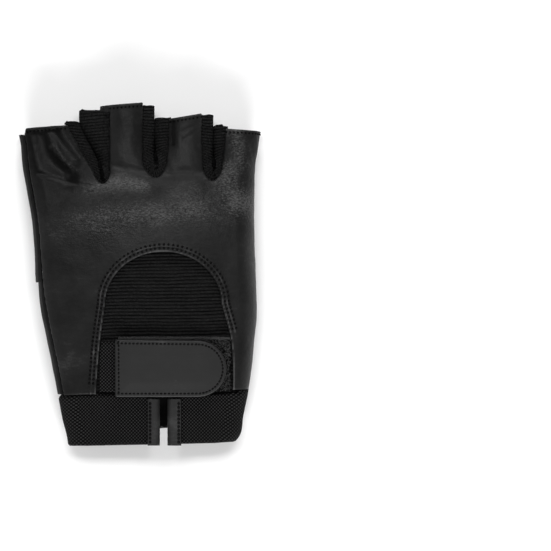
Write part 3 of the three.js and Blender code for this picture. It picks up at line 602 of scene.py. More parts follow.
@dataclass
class Finish:
    """A procedural finish; each kind fills in its own nodes."""

    name: str

    def material(self) -> bpy.types.Material:
        """Return this finish's material, made once."""
        known = bpy.data.materials.get(self.name)
        if known:
            return known
        made = bpy.data.materials.new(self.name)
        made.use_nodes = True
        self.tree = made.node_tree
        self.tree.nodes.clear()
        self.shader = self.node("ShaderNodeBsdfPrincipled")
        output = self.node("ShaderNodeOutputMaterial")
        self.tree.links.new(self.shader.outputs["BSDF"], output.inputs["Surface"])
        self.dress()
        return made

    def dress(self) -> None:
        """Fill in the shader; overridden by each finish."""

    def node(self, kind: str, **settings: object) -> bpy.types.Node:
        """Add a node.

        Args:
            kind: Its type.
            settings: Properties, or inputs where the name is an input's with spaces as underscores.

        Returns:
            The new node.
        """
        made = self.tree.nodes.new(kind)
        for key, value in settings.items():
            if hasattr(made, key):
                setattr(made, key, value)
            else:
                self.put(made.inputs[key.replace("_", " ")], value)
        return made

    def put(self, socket: Socket, value: object) -> None:
        """Set a socket to a number or colour, or link an output to it."""
        if isinstance(value, Socket):
            self.tree.links.new(value, socket)
        else:
            socket.default_value = value

    def math(self, operation: str, a: object, b: object = 0.0) -> Socket:
        """Return the output of a Math node."""
        made = self.node("ShaderNodeMath", operation=operation)
        self.put(made.inputs[0], a)
        self.put(made.inputs[1], b)
        return made.outputs[0]

    def blend(self, *terms: tuple[object, float], base: float = 0.0) -> Socket:
        """Add up values.

        Args:
            terms: Values or sockets, each with its weight.
            base: What the sum starts from.

        Returns:
            The output of the sum.
        """
        total: object = base
        for value, weight in terms:
            made = self.node("ShaderNodeMath", operation="MULTIPLY_ADD")
            for index, entry in enumerate((value, weight, total)):
                self.put(made.inputs[index], entry)
            total = made.outputs[0]
        return total

    def ranged(self, value: object, low: float, high: float, to_low: float, to_high: float) -> Socket:
        """Return a value mapped from one range to another, held at the ends."""
        made = self.node("ShaderNodeMapRange")
        for index, entry in enumerate((value, low, high, to_low, to_high)):
            self.put(made.inputs[index], entry)
        return made.outputs[0]

    def wave(self, value: object, pitch: float) -> Socket:
        """Return a sine wave over a length in metres, with a pitch in millimetres."""
        return self.math("SINE", self.math("MULTIPLY", value, 2 * math.pi / (pitch * MM)))

    def place(self) -> Socket:
        """Return the piece's Object coordinates."""
        return self.node("ShaderNodeTexCoord").outputs["Object"]

    def chart(self) -> tuple[Socket, Socket]:
        """Return x and y on the piece's own map."""
        split = self.node("ShaderNodeSeparateXYZ")
        self.put(split.inputs[0], self.node("ShaderNodeUVMap", uv_map="chart").outputs[0])
        return split.outputs[0], split.outputs[1]

    def read_wear_and_painted_light(self) -> Sequence[Socket]:
        """Return the shares of rubbing with painted highlight, of gloss with painted glints, and of painted
        shade.
        """
        shares = self.node("ShaderNodeSeparateColor")
        self.put(shares.inputs[0], self.node("ShaderNodeAttribute", attribute_name="wear_and_painted_light").outputs["Color"])
        return shares.outputs

    def greys(self, value: object, *stops: tuple[float, float]) -> None:
        """Colour the piece with greys looked up along stops of a place and a grey."""
        made = self.node("ShaderNodeValToRGB")
        self.put(made.inputs[0], value)
        marks = made.color_ramp.elements
        while len(marks) < len(stops):
            marks.new(0.5)
        for mark, (place, grey) in zip(marks, stops):
            mark.position = place
            mark.color = (grey, grey, grey, 1)
        self.put(self.shader.inputs["Base Color"], made.outputs[0])

    def matte(self, roughness: float, specular: float) -> None:
        """Set an even roughness and gleam."""
        self.shader.inputs["Roughness"].default_value = roughness
        self.shader.inputs["Specular IOR Level"].default_value = specular

    def bumped(self, height: object, depth: float, strength: float = 1.0) -> None:
        """Send a height, in shares of a depth in millimetres, to the shader's normal."""
        made = self.node("ShaderNodeBump")
        made.inputs["Strength"].default_value = strength
        made.inputs["Distance"].default_value = depth * MM
        self.put(made.inputs["Height"], height)
        self.put(self.shader.inputs["Normal"], made.outputs[0])

    def noise(self, vector: object, size: float, detail: float = 3.0, rough: float = 0.55) -> Socket:
        """Return noise whose lumps are about a size in millimetres."""
        made = self.node("ShaderNodeTexNoise", Scale=1 / (size * MM), Detail=detail, Roughness=rough)
        self.put(made.inputs["Vector"], vector)
        return made.outputs[0]


@dataclass
class LeatherFinish(Finish):
    """Leather with a pebbled grain, fine stretch lines and worn, shinier patches, whose colour also carries
    painted highlight and painted shade.

    Its greys go from painted shade in folds to edges lightened by rubbing and painted highlight, and the
    grain's size and depth are millimetres.
    """

    fold: float
    dark: float
    light: float
    edge: float
    rough_low: float
    rough_high: float
    grain: float
    depth: float
    specular: float

    def warped(self, place: Socket) -> Socket:
        """Return coordinates shifted a little to and fro, so that the grain isn't even."""
        warp = self.node("ShaderNodeTexNoise", Scale=420.0, Detail=2.0)
        self.put(warp.inputs["Vector"], place)
        shifted = self.node("ShaderNodeVectorMath", operation="MULTIPLY_ADD")
        self.put(shifted.inputs[0], warp.outputs["Color"])
        shifted.inputs[1].default_value = (0.0009, 0.0009, 0.0009)
        self.put(shifted.inputs[2], place)
        return shifted.outputs[0]

    def cells(self, feature: str, size: float, vector: object) -> bpy.types.Node:
        """Return a cell pattern whose cells are about a size in millimetres."""
        made = self.node("ShaderNodeTexVoronoi", Scale=1 / (size * MM), feature=feature)
        self.put(made.inputs["Vector"], vector)
        return made

    def dress(self) -> None:
        """Build the grain, the colour and the gloss."""
        place = self.place()
        warped = self.warped(place)
        pebble = self.cells("SMOOTH_F1", self.grain, warped)
        pebble.inputs["Smoothness"].default_value = 0.6
        creases = self.cells("DISTANCE_TO_EDGE", 2.3 * self.grain, warped)
        furrow = self.ranged(creases.outputs["Distance"], 0.0, 0.12, 0.0, 1.0)
        dome = self.ranged(pebble.outputs["Distance"], 0.0, 0.7, 1.0, 0.0)
        mapping = self.node("ShaderNodeMapping")
        mapping.inputs["Scale"].default_value = (0.55, 1.25, 1.0)
        self.put(mapping.inputs["Vector"], warped)
        squeezed = mapping.outputs[0]
        fine, lump = self.noise(place, 0.35, 2.0), self.noise(squeezed, 1.5, 3.0, 0.6)
        height = self.blend((dome, 0.4), (furrow, 0.1), (fine, 0.2), (lump, 1.3))
        rubbed_and_lit, gloss_and_painted_glint, painted_shade = self.read_wear_and_painted_light()
        relief = self.blend((gloss_and_painted_glint, 1.2), (painted_shade, -0.3), base=0.5)
        self.bumped(self.math("MULTIPLY", height, relief), self.depth, 0.9)
        # Painted glints: lighter specks in the colour, strongest in the glossy painted highlight band.
        speck = self.ranged(self.noise(squeezed, 0.68, 2.0, 0.65), 0.33, 0.67, -1.0, 1.0)
        painted_glints = self.math("MULTIPLY", speck, self.blend((gloss_and_painted_glint, 0.25), base=0.03))
        scuff = self.ranged(self.noise(squeezed, 2.8, 4.0, 0.7), 0.45, 0.75, 0.0, 0.14)
        patch = self.noise(place, 26.0, 2.0)
        # The colour adds random patches and scuffs, the painted highlight of the edges and the knuckle band,
        # and the painted glints, and takes away the painted shade.
        tone = self.blend((patch, 0.7), (rubbed_and_lit, 0.65), (painted_glints, 1.0), (painted_shade, -0.4), (scuff, 1.0))
        self.greys(tone, (0.05, self.fold), (0.22, self.dark), (0.5, self.light), (0.95, self.edge))
        self.matte(self.rough_high, self.specular)
        broad = self.noise(place, 9.0, 3.0)
        gloss = self.blend((broad, 0.7), (furrow, 0.15), (gloss_and_painted_glint, 0.55), (rubbed_and_lit, 0.3), (painted_shade, 0.05))
        rough = self.ranged(gloss, 0.2, 1.1, self.rough_high, self.rough_low)
        self.put(self.shader.inputs["Roughness"], rough)


@dataclass
class KnitFinish(Finish):
    """A ribbed knit: matte yarn with small twisted loops along each rib.

    Its pitches, of the loops along a rib and of the yarns across it, are millimetres.
    """

    dark: float
    light: float
    along: float
    across: float

    def dress(self) -> None:
        """Build loops from two crossed waves on the piece's own map."""
        x, y = self.chart()
        loops = self.math("MULTIPLY", self.wave(x, self.along), self.wave(y, self.across))
        place = self.place()
        self.bumped(self.blend((loops, 0.35), (self.noise(place, 0.18, 3.0, 0.7), 1.0)), 0.3)
        # The third share is painted shade in the grooves, along the fold and in the pit; it darkens the yarn.
        furrow = self.read_wear_and_painted_light()[2]
        tone = self.blend((loops, 0.18), (self.noise(place, 0.6, 3.0), 1.0), (furrow, -0.5))
        self.greys(tone, (0.3, self.dark), (0.75, self.light))
        self.matte(0.9, 0.08)


@dataclass
class TwillFinish(Finish):
    """A stout elastic woven in small diagonal checks.

    Its pitches, of the checks and of the yarns that split them, are millimetres.
    """

    dark: float
    light: float
    pitch: float
    yarn: float

    def dress(self) -> None:
        """Build the checks from two diagonal waves, with each float split into yarns."""
        x, y = self.chart()
        rising = self.wave(self.math("ADD", x, y), self.pitch)
        falling = self.wave(self.math("SUBTRACT", x, y), self.pitch)
        check = self.blend((rising, 0.5), (falling, 0.5))
        hair = self.noise(self.place(), 0.2, 2.0)
        self.bumped(self.blend((check, 0.5), (self.wave(x, self.yarn), 0.12), (hair, 0.3)), 0.3)
        self.greys(self.blend((check, 0.5), base=0.5), (0.52, self.dark), (0.72, self.light))
        self.matte(0.85, 0.05)


@dataclass
class NapFinish(Finish):
    """A dull, almost black finish with an uneven nap.

    Attributes:
        size: Size of the nap's lumps, in millimetres.
        detail: How many finer lumps they carry.
        rough: How strong the finer lumps are.
        depth: How deep the nap is, in millimetres, or 0 for none.
        dark: Grey of its hollows.
        light: Grey of its tips, at the height light_at from 0 to 1.
        strength: How strongly the nap catches the light.
    """

    size: float
    detail: float
    rough: float
    depth: float
    dark: float
    light: float
    light_at: float = 0.75
    strength: float = 1.0
    roughness: float = 0.9
    specular: float = 0.06

    def dress(self) -> None:
        """Build the nap and its two greys."""
        nap = self.noise(self.place(), self.size, self.detail, self.rough)
        if self.depth:
            self.bumped(nap, self.depth, self.strength)
        self.greys(nap, (0.3, self.dark), (self.light_at, self.light))
        self.matte(self.roughness, self.specular)


HAND_LEATHER = LeatherFinish("leather_finish", 0.001, 0.006, 0.0125, 0.066, 0.25, 0.5, 0.72, 0.2, 0.105)
# A darker, less glossy copy of the hand leather for the index side strips: painted shade on the side.
SHADED_SIDE_LEATHER = LeatherFinish("side_leather_painted_shade_finish", 0.001, 0.005, 0.011, 0.05, 0.4, 0.6, 0.72, 0.22, 0.05)
STRAP_LEATHER = LeatherFinish("tab_leather_finish", 0.005, 0.0085, 0.0112, 0.08, 0.42, 0.6, 0.45, 0.035, 0.28)
RIB_KNIT = KnitFinish("knit_finish", 0.0015, 0.024, 0.9, 0.5)
RIB_ELASTIC = KnitFinish("ribbed_elastic_finish", 0.001, 0.021, 0.75, 0.8)
TWILL = TwillFinish("woven_elastic_finish", 0.0003, 0.026, 1.63, 0.42)
FUZZ = NapFinish("loop_tape_finish", 0.3, 4.0, 0.7, 0.3, 0.0004, 0.004)
YARN = NapFinish("loop_yarn_finish", 0.3, 4.0, 0.7, 0.3, 0.002, 0.1)
THREAD = NapFinish("thread_finish", 0.16, 2.0, 0.55, 0.05, 0.002, 0.009, 0.8, 0.6, 0.8, 0.1)
# Near-black dots under the stitches: painted shade of the stitch holes.
STITCH_SHADE = NapFinish("stitch_painted_shade_finish", 0.5, 2.0, 0.55, 0.0, 0.0015, 0.004, 0.8, 1.0, 1.0, 0.0)
# Near-black inner side: the glove's own dark inside, darkened further as painted shade of the hollow.
INSIDE_SHADE = NapFinish("inner_side_painted_shade_finish", 0.4, 4.0, 0.7, 0.15, 0.0008, 0.004, 0.75, 1.0, 1.0, 0.02)


def adopt(piece: bpy.types.Object, finish: Finish, replaced: Sequence[str] = ()) -> None:
    """Dress a piece and give its inner side a near-black finish of painted shade, let it ride on the glove's
    one body and hide what it replaces.

    Args:
        piece: The object.
        finish: The finish that it wears.
        replaced: The nodes of the frame that it stands for.
    """
    piece.data.materials.clear()
    piece.data.materials.append(finish.material())
    wall = piece.modifiers.get("wall")
    if wall:
        piece.data.materials.append(INSIDE_SHADE.material())
        wall.material_offset = 1
    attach(piece, "root")
    if replaced:
        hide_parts(*replaced)
    log.info("%s: %d faces", piece.name, len(piece.data.polygons))


@dataclass
class Patch:
    """A sheet of leather or cloth: part of a plane grid, laid on a surface and given a thickness.

    Attributes:
        name: The object's name.
        surface: Where a place of the plane lies in space.
        us: Grid lines across.
        vs: Grid lines along.
        thickness: The wall's thickness inwards.
        relief: Height of the finish above the surface.
        outline: What is kept, where the whole grid isn't.
        holes: What is cut away.
        turned: True where the surface's own normal points inwards.
        chart: Where a place of the plane lies on the piece's map.
        wear_and_painted_light: How much rubbing lightens the leather, with painted highlight; how glossy it
            is, with painted glints; and how much painted shade lies on it or in the grooves of knit and ribs;
            each from 0 to 1.
    """

    name: str
    surface: Surface
    us: Array
    vs: Array
    thickness: float
    relief: Relief | None = None
    outline: Outline | None = None
    holes: Sequence[Outline] = ()
    turned: bool = False
    chart: Surface | None = None
    wear_and_painted_light: Surface | None = None

    def build(self) -> bpy.types.Object:
        """Build the piece's object.

        Returns:
            The object, linked to the scene.
        """
        nu, nv = len(self.us), len(self.vs)
        bm = bmesh.new()
        bmesh.ops.create_grid(bm, x_segments=nu - 1, y_segments=nv - 1, size=1)
        flat = np.array([vert.co[:2] for vert in bm.verts])
        u = self.us[np.rint((flat[:, 0] + 1) / 2 * (nu - 1)).astype(int)]
        v = self.vs[np.rint((flat[:, 1] + 1) / 2 * (nv - 1)).astype(int)]
        if self.outline is not None:
            u, v = self.trim(bm, u, v)
        facing = normals(self.surface, u, v) * (-1 if self.turned else 1)
        points = self.surface(u, v)
        if self.relief is not None:
            points = points + facing * self.relief(u, v)[:, None]
        points[:, 2] = np.maximum(points[:, 2], 0.0)
        for vert, point in zip(bm.verts, points * MM):
            vert.co = point
        self.map_chart(bm, u, v)
        # Per-vertex shares: rubbing with painted highlight, gloss with painted glints, and painted shade.
        if self.wear_and_painted_light is not None:
            shares = self.wear_and_painted_light(u, v)
            layer = bm.verts.layers.float_color.new("wear_and_painted_light")
            for vert, share in zip(bm.verts, shares):
                vert[layer] = (*share, 1)
        if self.turned:
            bmesh.ops.reverse_faces(bm, faces=bm.faces)
        bmesh.ops.dissolve_degenerate(bm, dist=1e-6, edges=bm.edges)
        mesh = bpy.data.meshes.new(self.name)
        bm.to_mesh(mesh)
        bm.free()
        mesh.shade_smooth()
        made = linked(self.name, mesh)
        wall = made.modifiers.new("wall", "SOLIDIFY")
        wall.thickness = self.thickness * MM
        wall.offset = -1
        wall.use_even_offset = False
        return made

    def trim(self, bm: bmesh.types.BMesh, u: Array, v: Array) -> tuple[Array, Array]:
        """Cut the grid to the outline and holes, and bring its new border onto them.

        Args:
            bm: The grid.
            u: Each vertex's place across.
            v: Each vertex's place along.

        Returns:
            The places of the vertices that stay.
        """
        cell = max(float(np.diff(self.us).max()), float(np.diff(self.vs).max()))
        lines = [self.outline, *self.holes]
        found = [line.nearest(u, v) for line in lines]
        reach = 0.4 * cell
        keep = self.outline.inside(u, v) | (found[0][0] < reach)
        for line, (away, *_rest) in zip(self.holes, found[1:]):
            keep &= ~line.inside(u, v) | (away < reach)
        layer = bm.verts.layers.int.new("row")
        for number, vert in enumerate(bm.verts):
            vert[layer] = number
        gone = [vert for vert, stays in zip(bm.verts, keep) if not stays]
        bmesh.ops.delete(bm, geom=gone, context="VERTS")
        loose = [vert for vert in bm.verts if len(vert.link_faces) < 1]
        bmesh.ops.delete(bm, geom=loose, context="VERTS")
        nearest = np.argmin([entry[0] for entry in found], axis=0)
        near_x = np.choose(nearest, [entry[1] for entry in found])
        near_y = np.choose(nearest, [entry[2] for entry in found])
        rows = np.array([vert[layer] for vert in bm.verts])
        border = np.array([vert.is_boundary for vert in bm.verts])
        u_kept = np.where(border, near_x[rows], u[rows])
        v_kept = np.where(border, near_y[rows], v[rows])
        return u_kept, v_kept

    def map_chart(self, bm: bmesh.types.BMesh, u: Array, v: Array) -> None:
        """Write the piece's map, in metres, from its plane."""
        chart = self.chart(u, v) if self.chart else np.stack([u, v], axis=-1)
        layer = bm.loops.layers.uv.new("chart")
        bm.verts.index_update()
        for face in bm.faces:
            for loop in face.loops:
                loop[layer].uv = chart[loop.vert.index, :2] * MM


def steps(low: float, high: float, pitch: float) -> Array:
    """Return evenly spaced values from low to high, about a pitch apart."""
    return np.linspace(low, high, max(2, int(round((high - low) / pitch)) + 1))


def runs(*stretches: tuple[float, float, int]) -> Array:
    """Return values over stretches that follow on each other, each with its own count."""
    parts = [np.linspace(low, high, count) for low, high, count in stretches]
    return np.concatenate([parts[0], *[part[1:] for part in parts[1:]]])


def copies(name: str, template: bmesh.types.BMesh, frames: Array) -> bpy.types.Object:
    """Join copies of a small shape into one object.

    Args:
        name: The object's name.
        template: The shape, in millimetres.
        frames: One 4 by 4 matrix for each copy.

    Returns:
        The object, linked to the scene.
    """
    mesh = bpy.data.meshes.new(name)
    template.to_mesh(mesh)
    template.free()
    joined = bmesh.new()
    joined.from_mesh(mesh)
    corners = np.array([(*vert.co, 1.0) for vert in joined.verts])
    parts = (joined.verts, joined.edges, joined.faces)
    sizes = [len(part) for part in parts]
    count = 1
    while count < len(frames):
        more = min(count, len(frames) - count)
        geometry = []
        for part, size in zip(parts, sizes):
            part.ensure_lookup_table()
            geometry += part[: more * size]
        bmesh.ops.duplicate(joined, geom=geometry)
        count += more
    placed = np.einsum("nij,vj->nvi", frames, corners)[..., :3].reshape(-1, 3) * MM
    for vert, point in zip(joined.verts, placed, strict=True):
        vert.co = point
    joined.to_mesh(mesh)
    joined.free()
    mesh.shade_smooth()
    return linked(name, mesh)


@dataclass(frozen=True)
class Stitch:
    """One kind of stitch: how much thread shows, how thick it is, and half the width of the dark dot of
    painted shade under it.
    """

    pitch: float
    length: float
    thread: float
    shade_dot: float


HEM_STITCH = Stitch(1.85, 0.85, 0.4, 0.42)
ARCH_STITCH = Stitch(2.0, 1.0, 0.5, 0.58)
TAB_STITCH = Stitch(1.85, 1.2, 0.55, 0.44)
BINDING_STITCH = Stitch(1.85, 1.35, 0.7, 0.68)


@dataclass
class Row:
    """A row of stitches along a line of a piece's plane."""

    line: Outline
    inset: float
    stitch: Stitch


def sew(name: str, surface: Surface, rows: Sequence[Row], turned: bool = False) -> None:
    """Lay rows of stitches on a surface, with a dark dot of painted shade under each.

    Args:
        name: The object's name.
        surface: The finished surface that the thread lies on.
        rows: The rows to sew.
        turned: True where the surface's own normal points inwards.
    """
    sunk, shade_dot_end, shade_dot_height = 0.22, 0.08, 0.2
    frames = []
    for row in rows:
        places, ways = row.line.spaced(row.stitch.pitch, row.inset)
        u, v = places.T
        centre = surface(u, v)
        ahead = surface(u + ways[:, 0] * 0.2, v + ways[:, 1] * 0.2) - centre
        tangent = ahead / np.linalg.norm(ahead, axis=1, keepdims=True)
        up = normals(surface, u, v) * (-1 if turned else 1)
        up -= tangent * np.sum(up * tangent, axis=1, keepdims=True)
        up /= np.linalg.norm(up, axis=1, keepdims=True)
        side = np.cross(up, tangent)
        frame_of = np.zeros((len(u), 4, 4))
        frame_of[:, :3, 0] = tangent * row.stitch.length / 2
        frame_of[:, :3, 1] = side * row.stitch.thread / 2
        frame_of[:, :3, 2] = up * row.stitch.thread / 2
        frame_of[:, :3, 3] = centre + up * sunk
        frame_of[:, 2, 3] = np.maximum(frame_of[:, 2, 3], row.stitch.thread / 2)
        frame_of[:, 3, 3] = 1
        frames.append(frame_of)
    threads = np.concatenate(frames)
    # A dark flat dot of painted shade under each thread.
    painted_shade_dots = threads.copy()
    lengths = np.linalg.norm(threads[:, :3, :3], axis=1, keepdims=True)
    stitch = rows[0].stitch
    half_axes = np.array([stitch.length / 2 + shade_dot_end, stitch.shade_dot, shade_dot_height])
    painted_shade_dots[:, :3, :3] = threads[:, :3, :3] / lengths * half_axes
    painted_shade_dots[:, 2, 3] = np.maximum(painted_shade_dots[:, 2, 3], sunk)
    for made, rings, placed, finish in ((name, 5, threads, THREAD), (f"{name}_dimples", 4, painted_shade_dots, STITCH_SHADE)):
        template = bmesh.new()
        bmesh.ops.create_uvsphere(template, u_segments=8, v_segments=rings, radius=1)
        adopt(copies(made, template, placed), finish)


def seam(away: Array, along: Array, rows: Rows, stitch: Stitch, roll: float, fold: float) -> Array:
    """Shape leather along a stitched edge.

    Args:
        away: Distance from the edge.
        along: Distance along the edge.
        rows: Where the stitch rows run, from the edge.
        stitch: Their stitch.
        roll: Radius with which the edge rounds down.
        fold: How far the folded edge stands proud.

    Returns:
        The height to add to the surface.
    """
    inside = np.clip(1 - away / roll, 0, 1)
    height = -roll * 0.9 * (1 - np.sqrt(1 - inside**2))
    height = height + fold * (1 - smoothstep(away, rows[-1], rows[-1] + 1.0)) if rows else height
    pull = 0.7 - 0.3 * np.cos(2 * math.pi * along / stitch.pitch)
    for row in rows:
        height = height - 0.3 * hump(away - row, 0.45) * pull
    if len(rows) > 1:
        height = height + 0.22 * hump(away - (rows[0] + rows[1]) / 2, 0.5)
    return height


def beside(line: Outline, x: Array, y: Array, rows: Rows, stitch: Stitch, roll: float, fold: float) -> Array:
    """Return the height of leather along a stitched edge, from the edge's line."""
    away, _x, _y, along = line.nearest(x, y)
    return seam(away, along, rows, stitch, roll, fold)


@dataclass
class Arch:
    """The arched opening in the back."""

    centre_x: float = 11.8
    spring_y: float = -14.0
    half_width: float = 27.7
    rise: float = 24.6

    def __post_init__(self) -> None:
        """Read the legs' table."""
        ys = [-60.0, -45.0, -30.0, -14.0]
        self.leg_left = Curve(ys, [-20.7, -19.6, -18.2, -15.9])
        self.leg_right = Curve(ys, [45.0, 45.0, 43.8, 39.5])

    def line(self, margin: float = 0.0, bottom: float = -58.5) -> Outline:
        """Return the rim as an open line, from the foot of the right leg over the top to the left.

        Args:
            margin: How far outside the opening it runs.
            bottom: Where the legs end.

        Returns:
            The line.
        """
        legs = np.linspace(bottom, self.spring_y, 24)
        angles = np.linspace(0, math.pi, 60)
        right = [(float(self.leg_right(y)) + margin, y) for y in legs[:-1]]
        left = [(float(self.leg_left(y)) - margin, y) for y in legs[-2::-1]]
        wide, high = self.half_width + margin, self.rise + margin
        top = [(self.centre_x + wide * math.cos(a), self.spring_y + high * math.sin(a)) for a in angles]
        return open_line([*right, *top, *left])

    def region(self, margin: float, bottom: float) -> Outline:
        """Return the closed region under the rim."""
        return Outline(self.line(margin, bottom).points)


ARCH = Arch()
CUFF_BACK = ((-39.0, -58.1), (52.8, -55.2))
CUFF_PALM = ((-37.0, -60.8), (50.9, -53.2))


def line_at(ends: Ends, x: Array) -> Array:
    """Return the height at x of a straight line between two ends."""
    (ax, ay), (bx, by) = ends
    return ay + (by - ay) * (x - ax) / (bx - ax)


@dataclass
class FingerEdges:
    """The hems and slots of one side of the glove, as lines of its plane, from index to little finger.

    Attributes:
        cuts: The slots between the fingers.
        index_y: Height of the index hem at the side of the hand.
        corner: Where the index hem turns level.
        little_y: Height of the little finger's hem at the side of the hand.
    """

    cuts: Sequence[Slot]
    index_y: float
    corner: Place
    little_y: float

    def __post_init__(self) -> None:
        """Lay out the lines."""
        index_y, corner, little_y = self.index_y, self.corner, self.little_y
        s = runs((0, 0.4, 12), (0.4, 0.6, 20), (0.6, 1, 12))
        self.slots = [np.stack(slot.path(s), axis=1) for slot in self.cuts]
        left_w = float(GLOVE.unrolled(np.array(0.0), np.array(index_y))) - 6
        right_w = float(GLOVE.unrolled(np.array(3.0), np.array(little_y))) + 12
        corner_q = GLOVE.place(np.array(corner[0]), np.array(corner[1]))
        corner_w = float(GLOVE.unrolled(corner_q, np.array(corner[1])))
        starts = [np.array([(left_w, index_y - 1.0), (corner_w, corner[1])]), *[p[-1:] for p in self.slots]]
        ends = [*[p[:1] for p in self.slots], np.array([(right_w, little_y - 0.4)])]
        self.hems = [np.concatenate([a, b]) for a, b in zip(starts, ends)]

    def top(self, tab: bool = False) -> list[Place]:
        """List the corners of the whole edge from left to right.

        Args:
            tab: Whether the middle finger's folded hem end is added.

        Returns:
            The corners.
        """
        points: list[Place] = []
        for number, hem in enumerate(self.hems):
            if number == 1 and tab:
                points.extend([(-15.0, 77.6), (-18.9, 77.4), (-18.7, 80.3)])
            points.extend(map(tuple, hem))
            if number < len(self.slots):
                points.extend(map(tuple, self.slots[number][1:-1]))
        return points

    def sewn_hems(self, first: tuple[float, float, float], last: tuple[float, float, float]) -> list[Outline]:
        """Cut the outer hems back to the leather that is there.

        Args:
            first: The index hem's new end: its place round the skin, where that is read and its height.
            last: The same for the little finger's hem.

        Returns:
            The hems as open lines.
        """
        hems = [hem.copy() for hem in self.hems]
        for hem, row, (q, read_y, y) in ((hems[0], 0, first), (hems[-1], -1, last)):
            hem[row] = (GLOVE.unrolled(np.array(q), np.array(read_y)), y)
        return [open_line(hem) for hem in hems]


BACK_EDGES = FingerEdges(BACK_SLOTS, 67.0, (-54.0, 69.8), 68.5)
PALM_EDGES = FingerEdges(PALM_SLOTS, 66.0, (-54.0, 67.4), 66.8)


def side_line(q: float, low: float, high: float, count: int = 30) -> list[Place]:
    """Return a line up the unrolled skin at place q."""
    ys = np.linspace(low, high, count)
    return list(zip(GLOVE.unrolled(np.full(count, q), ys), ys))


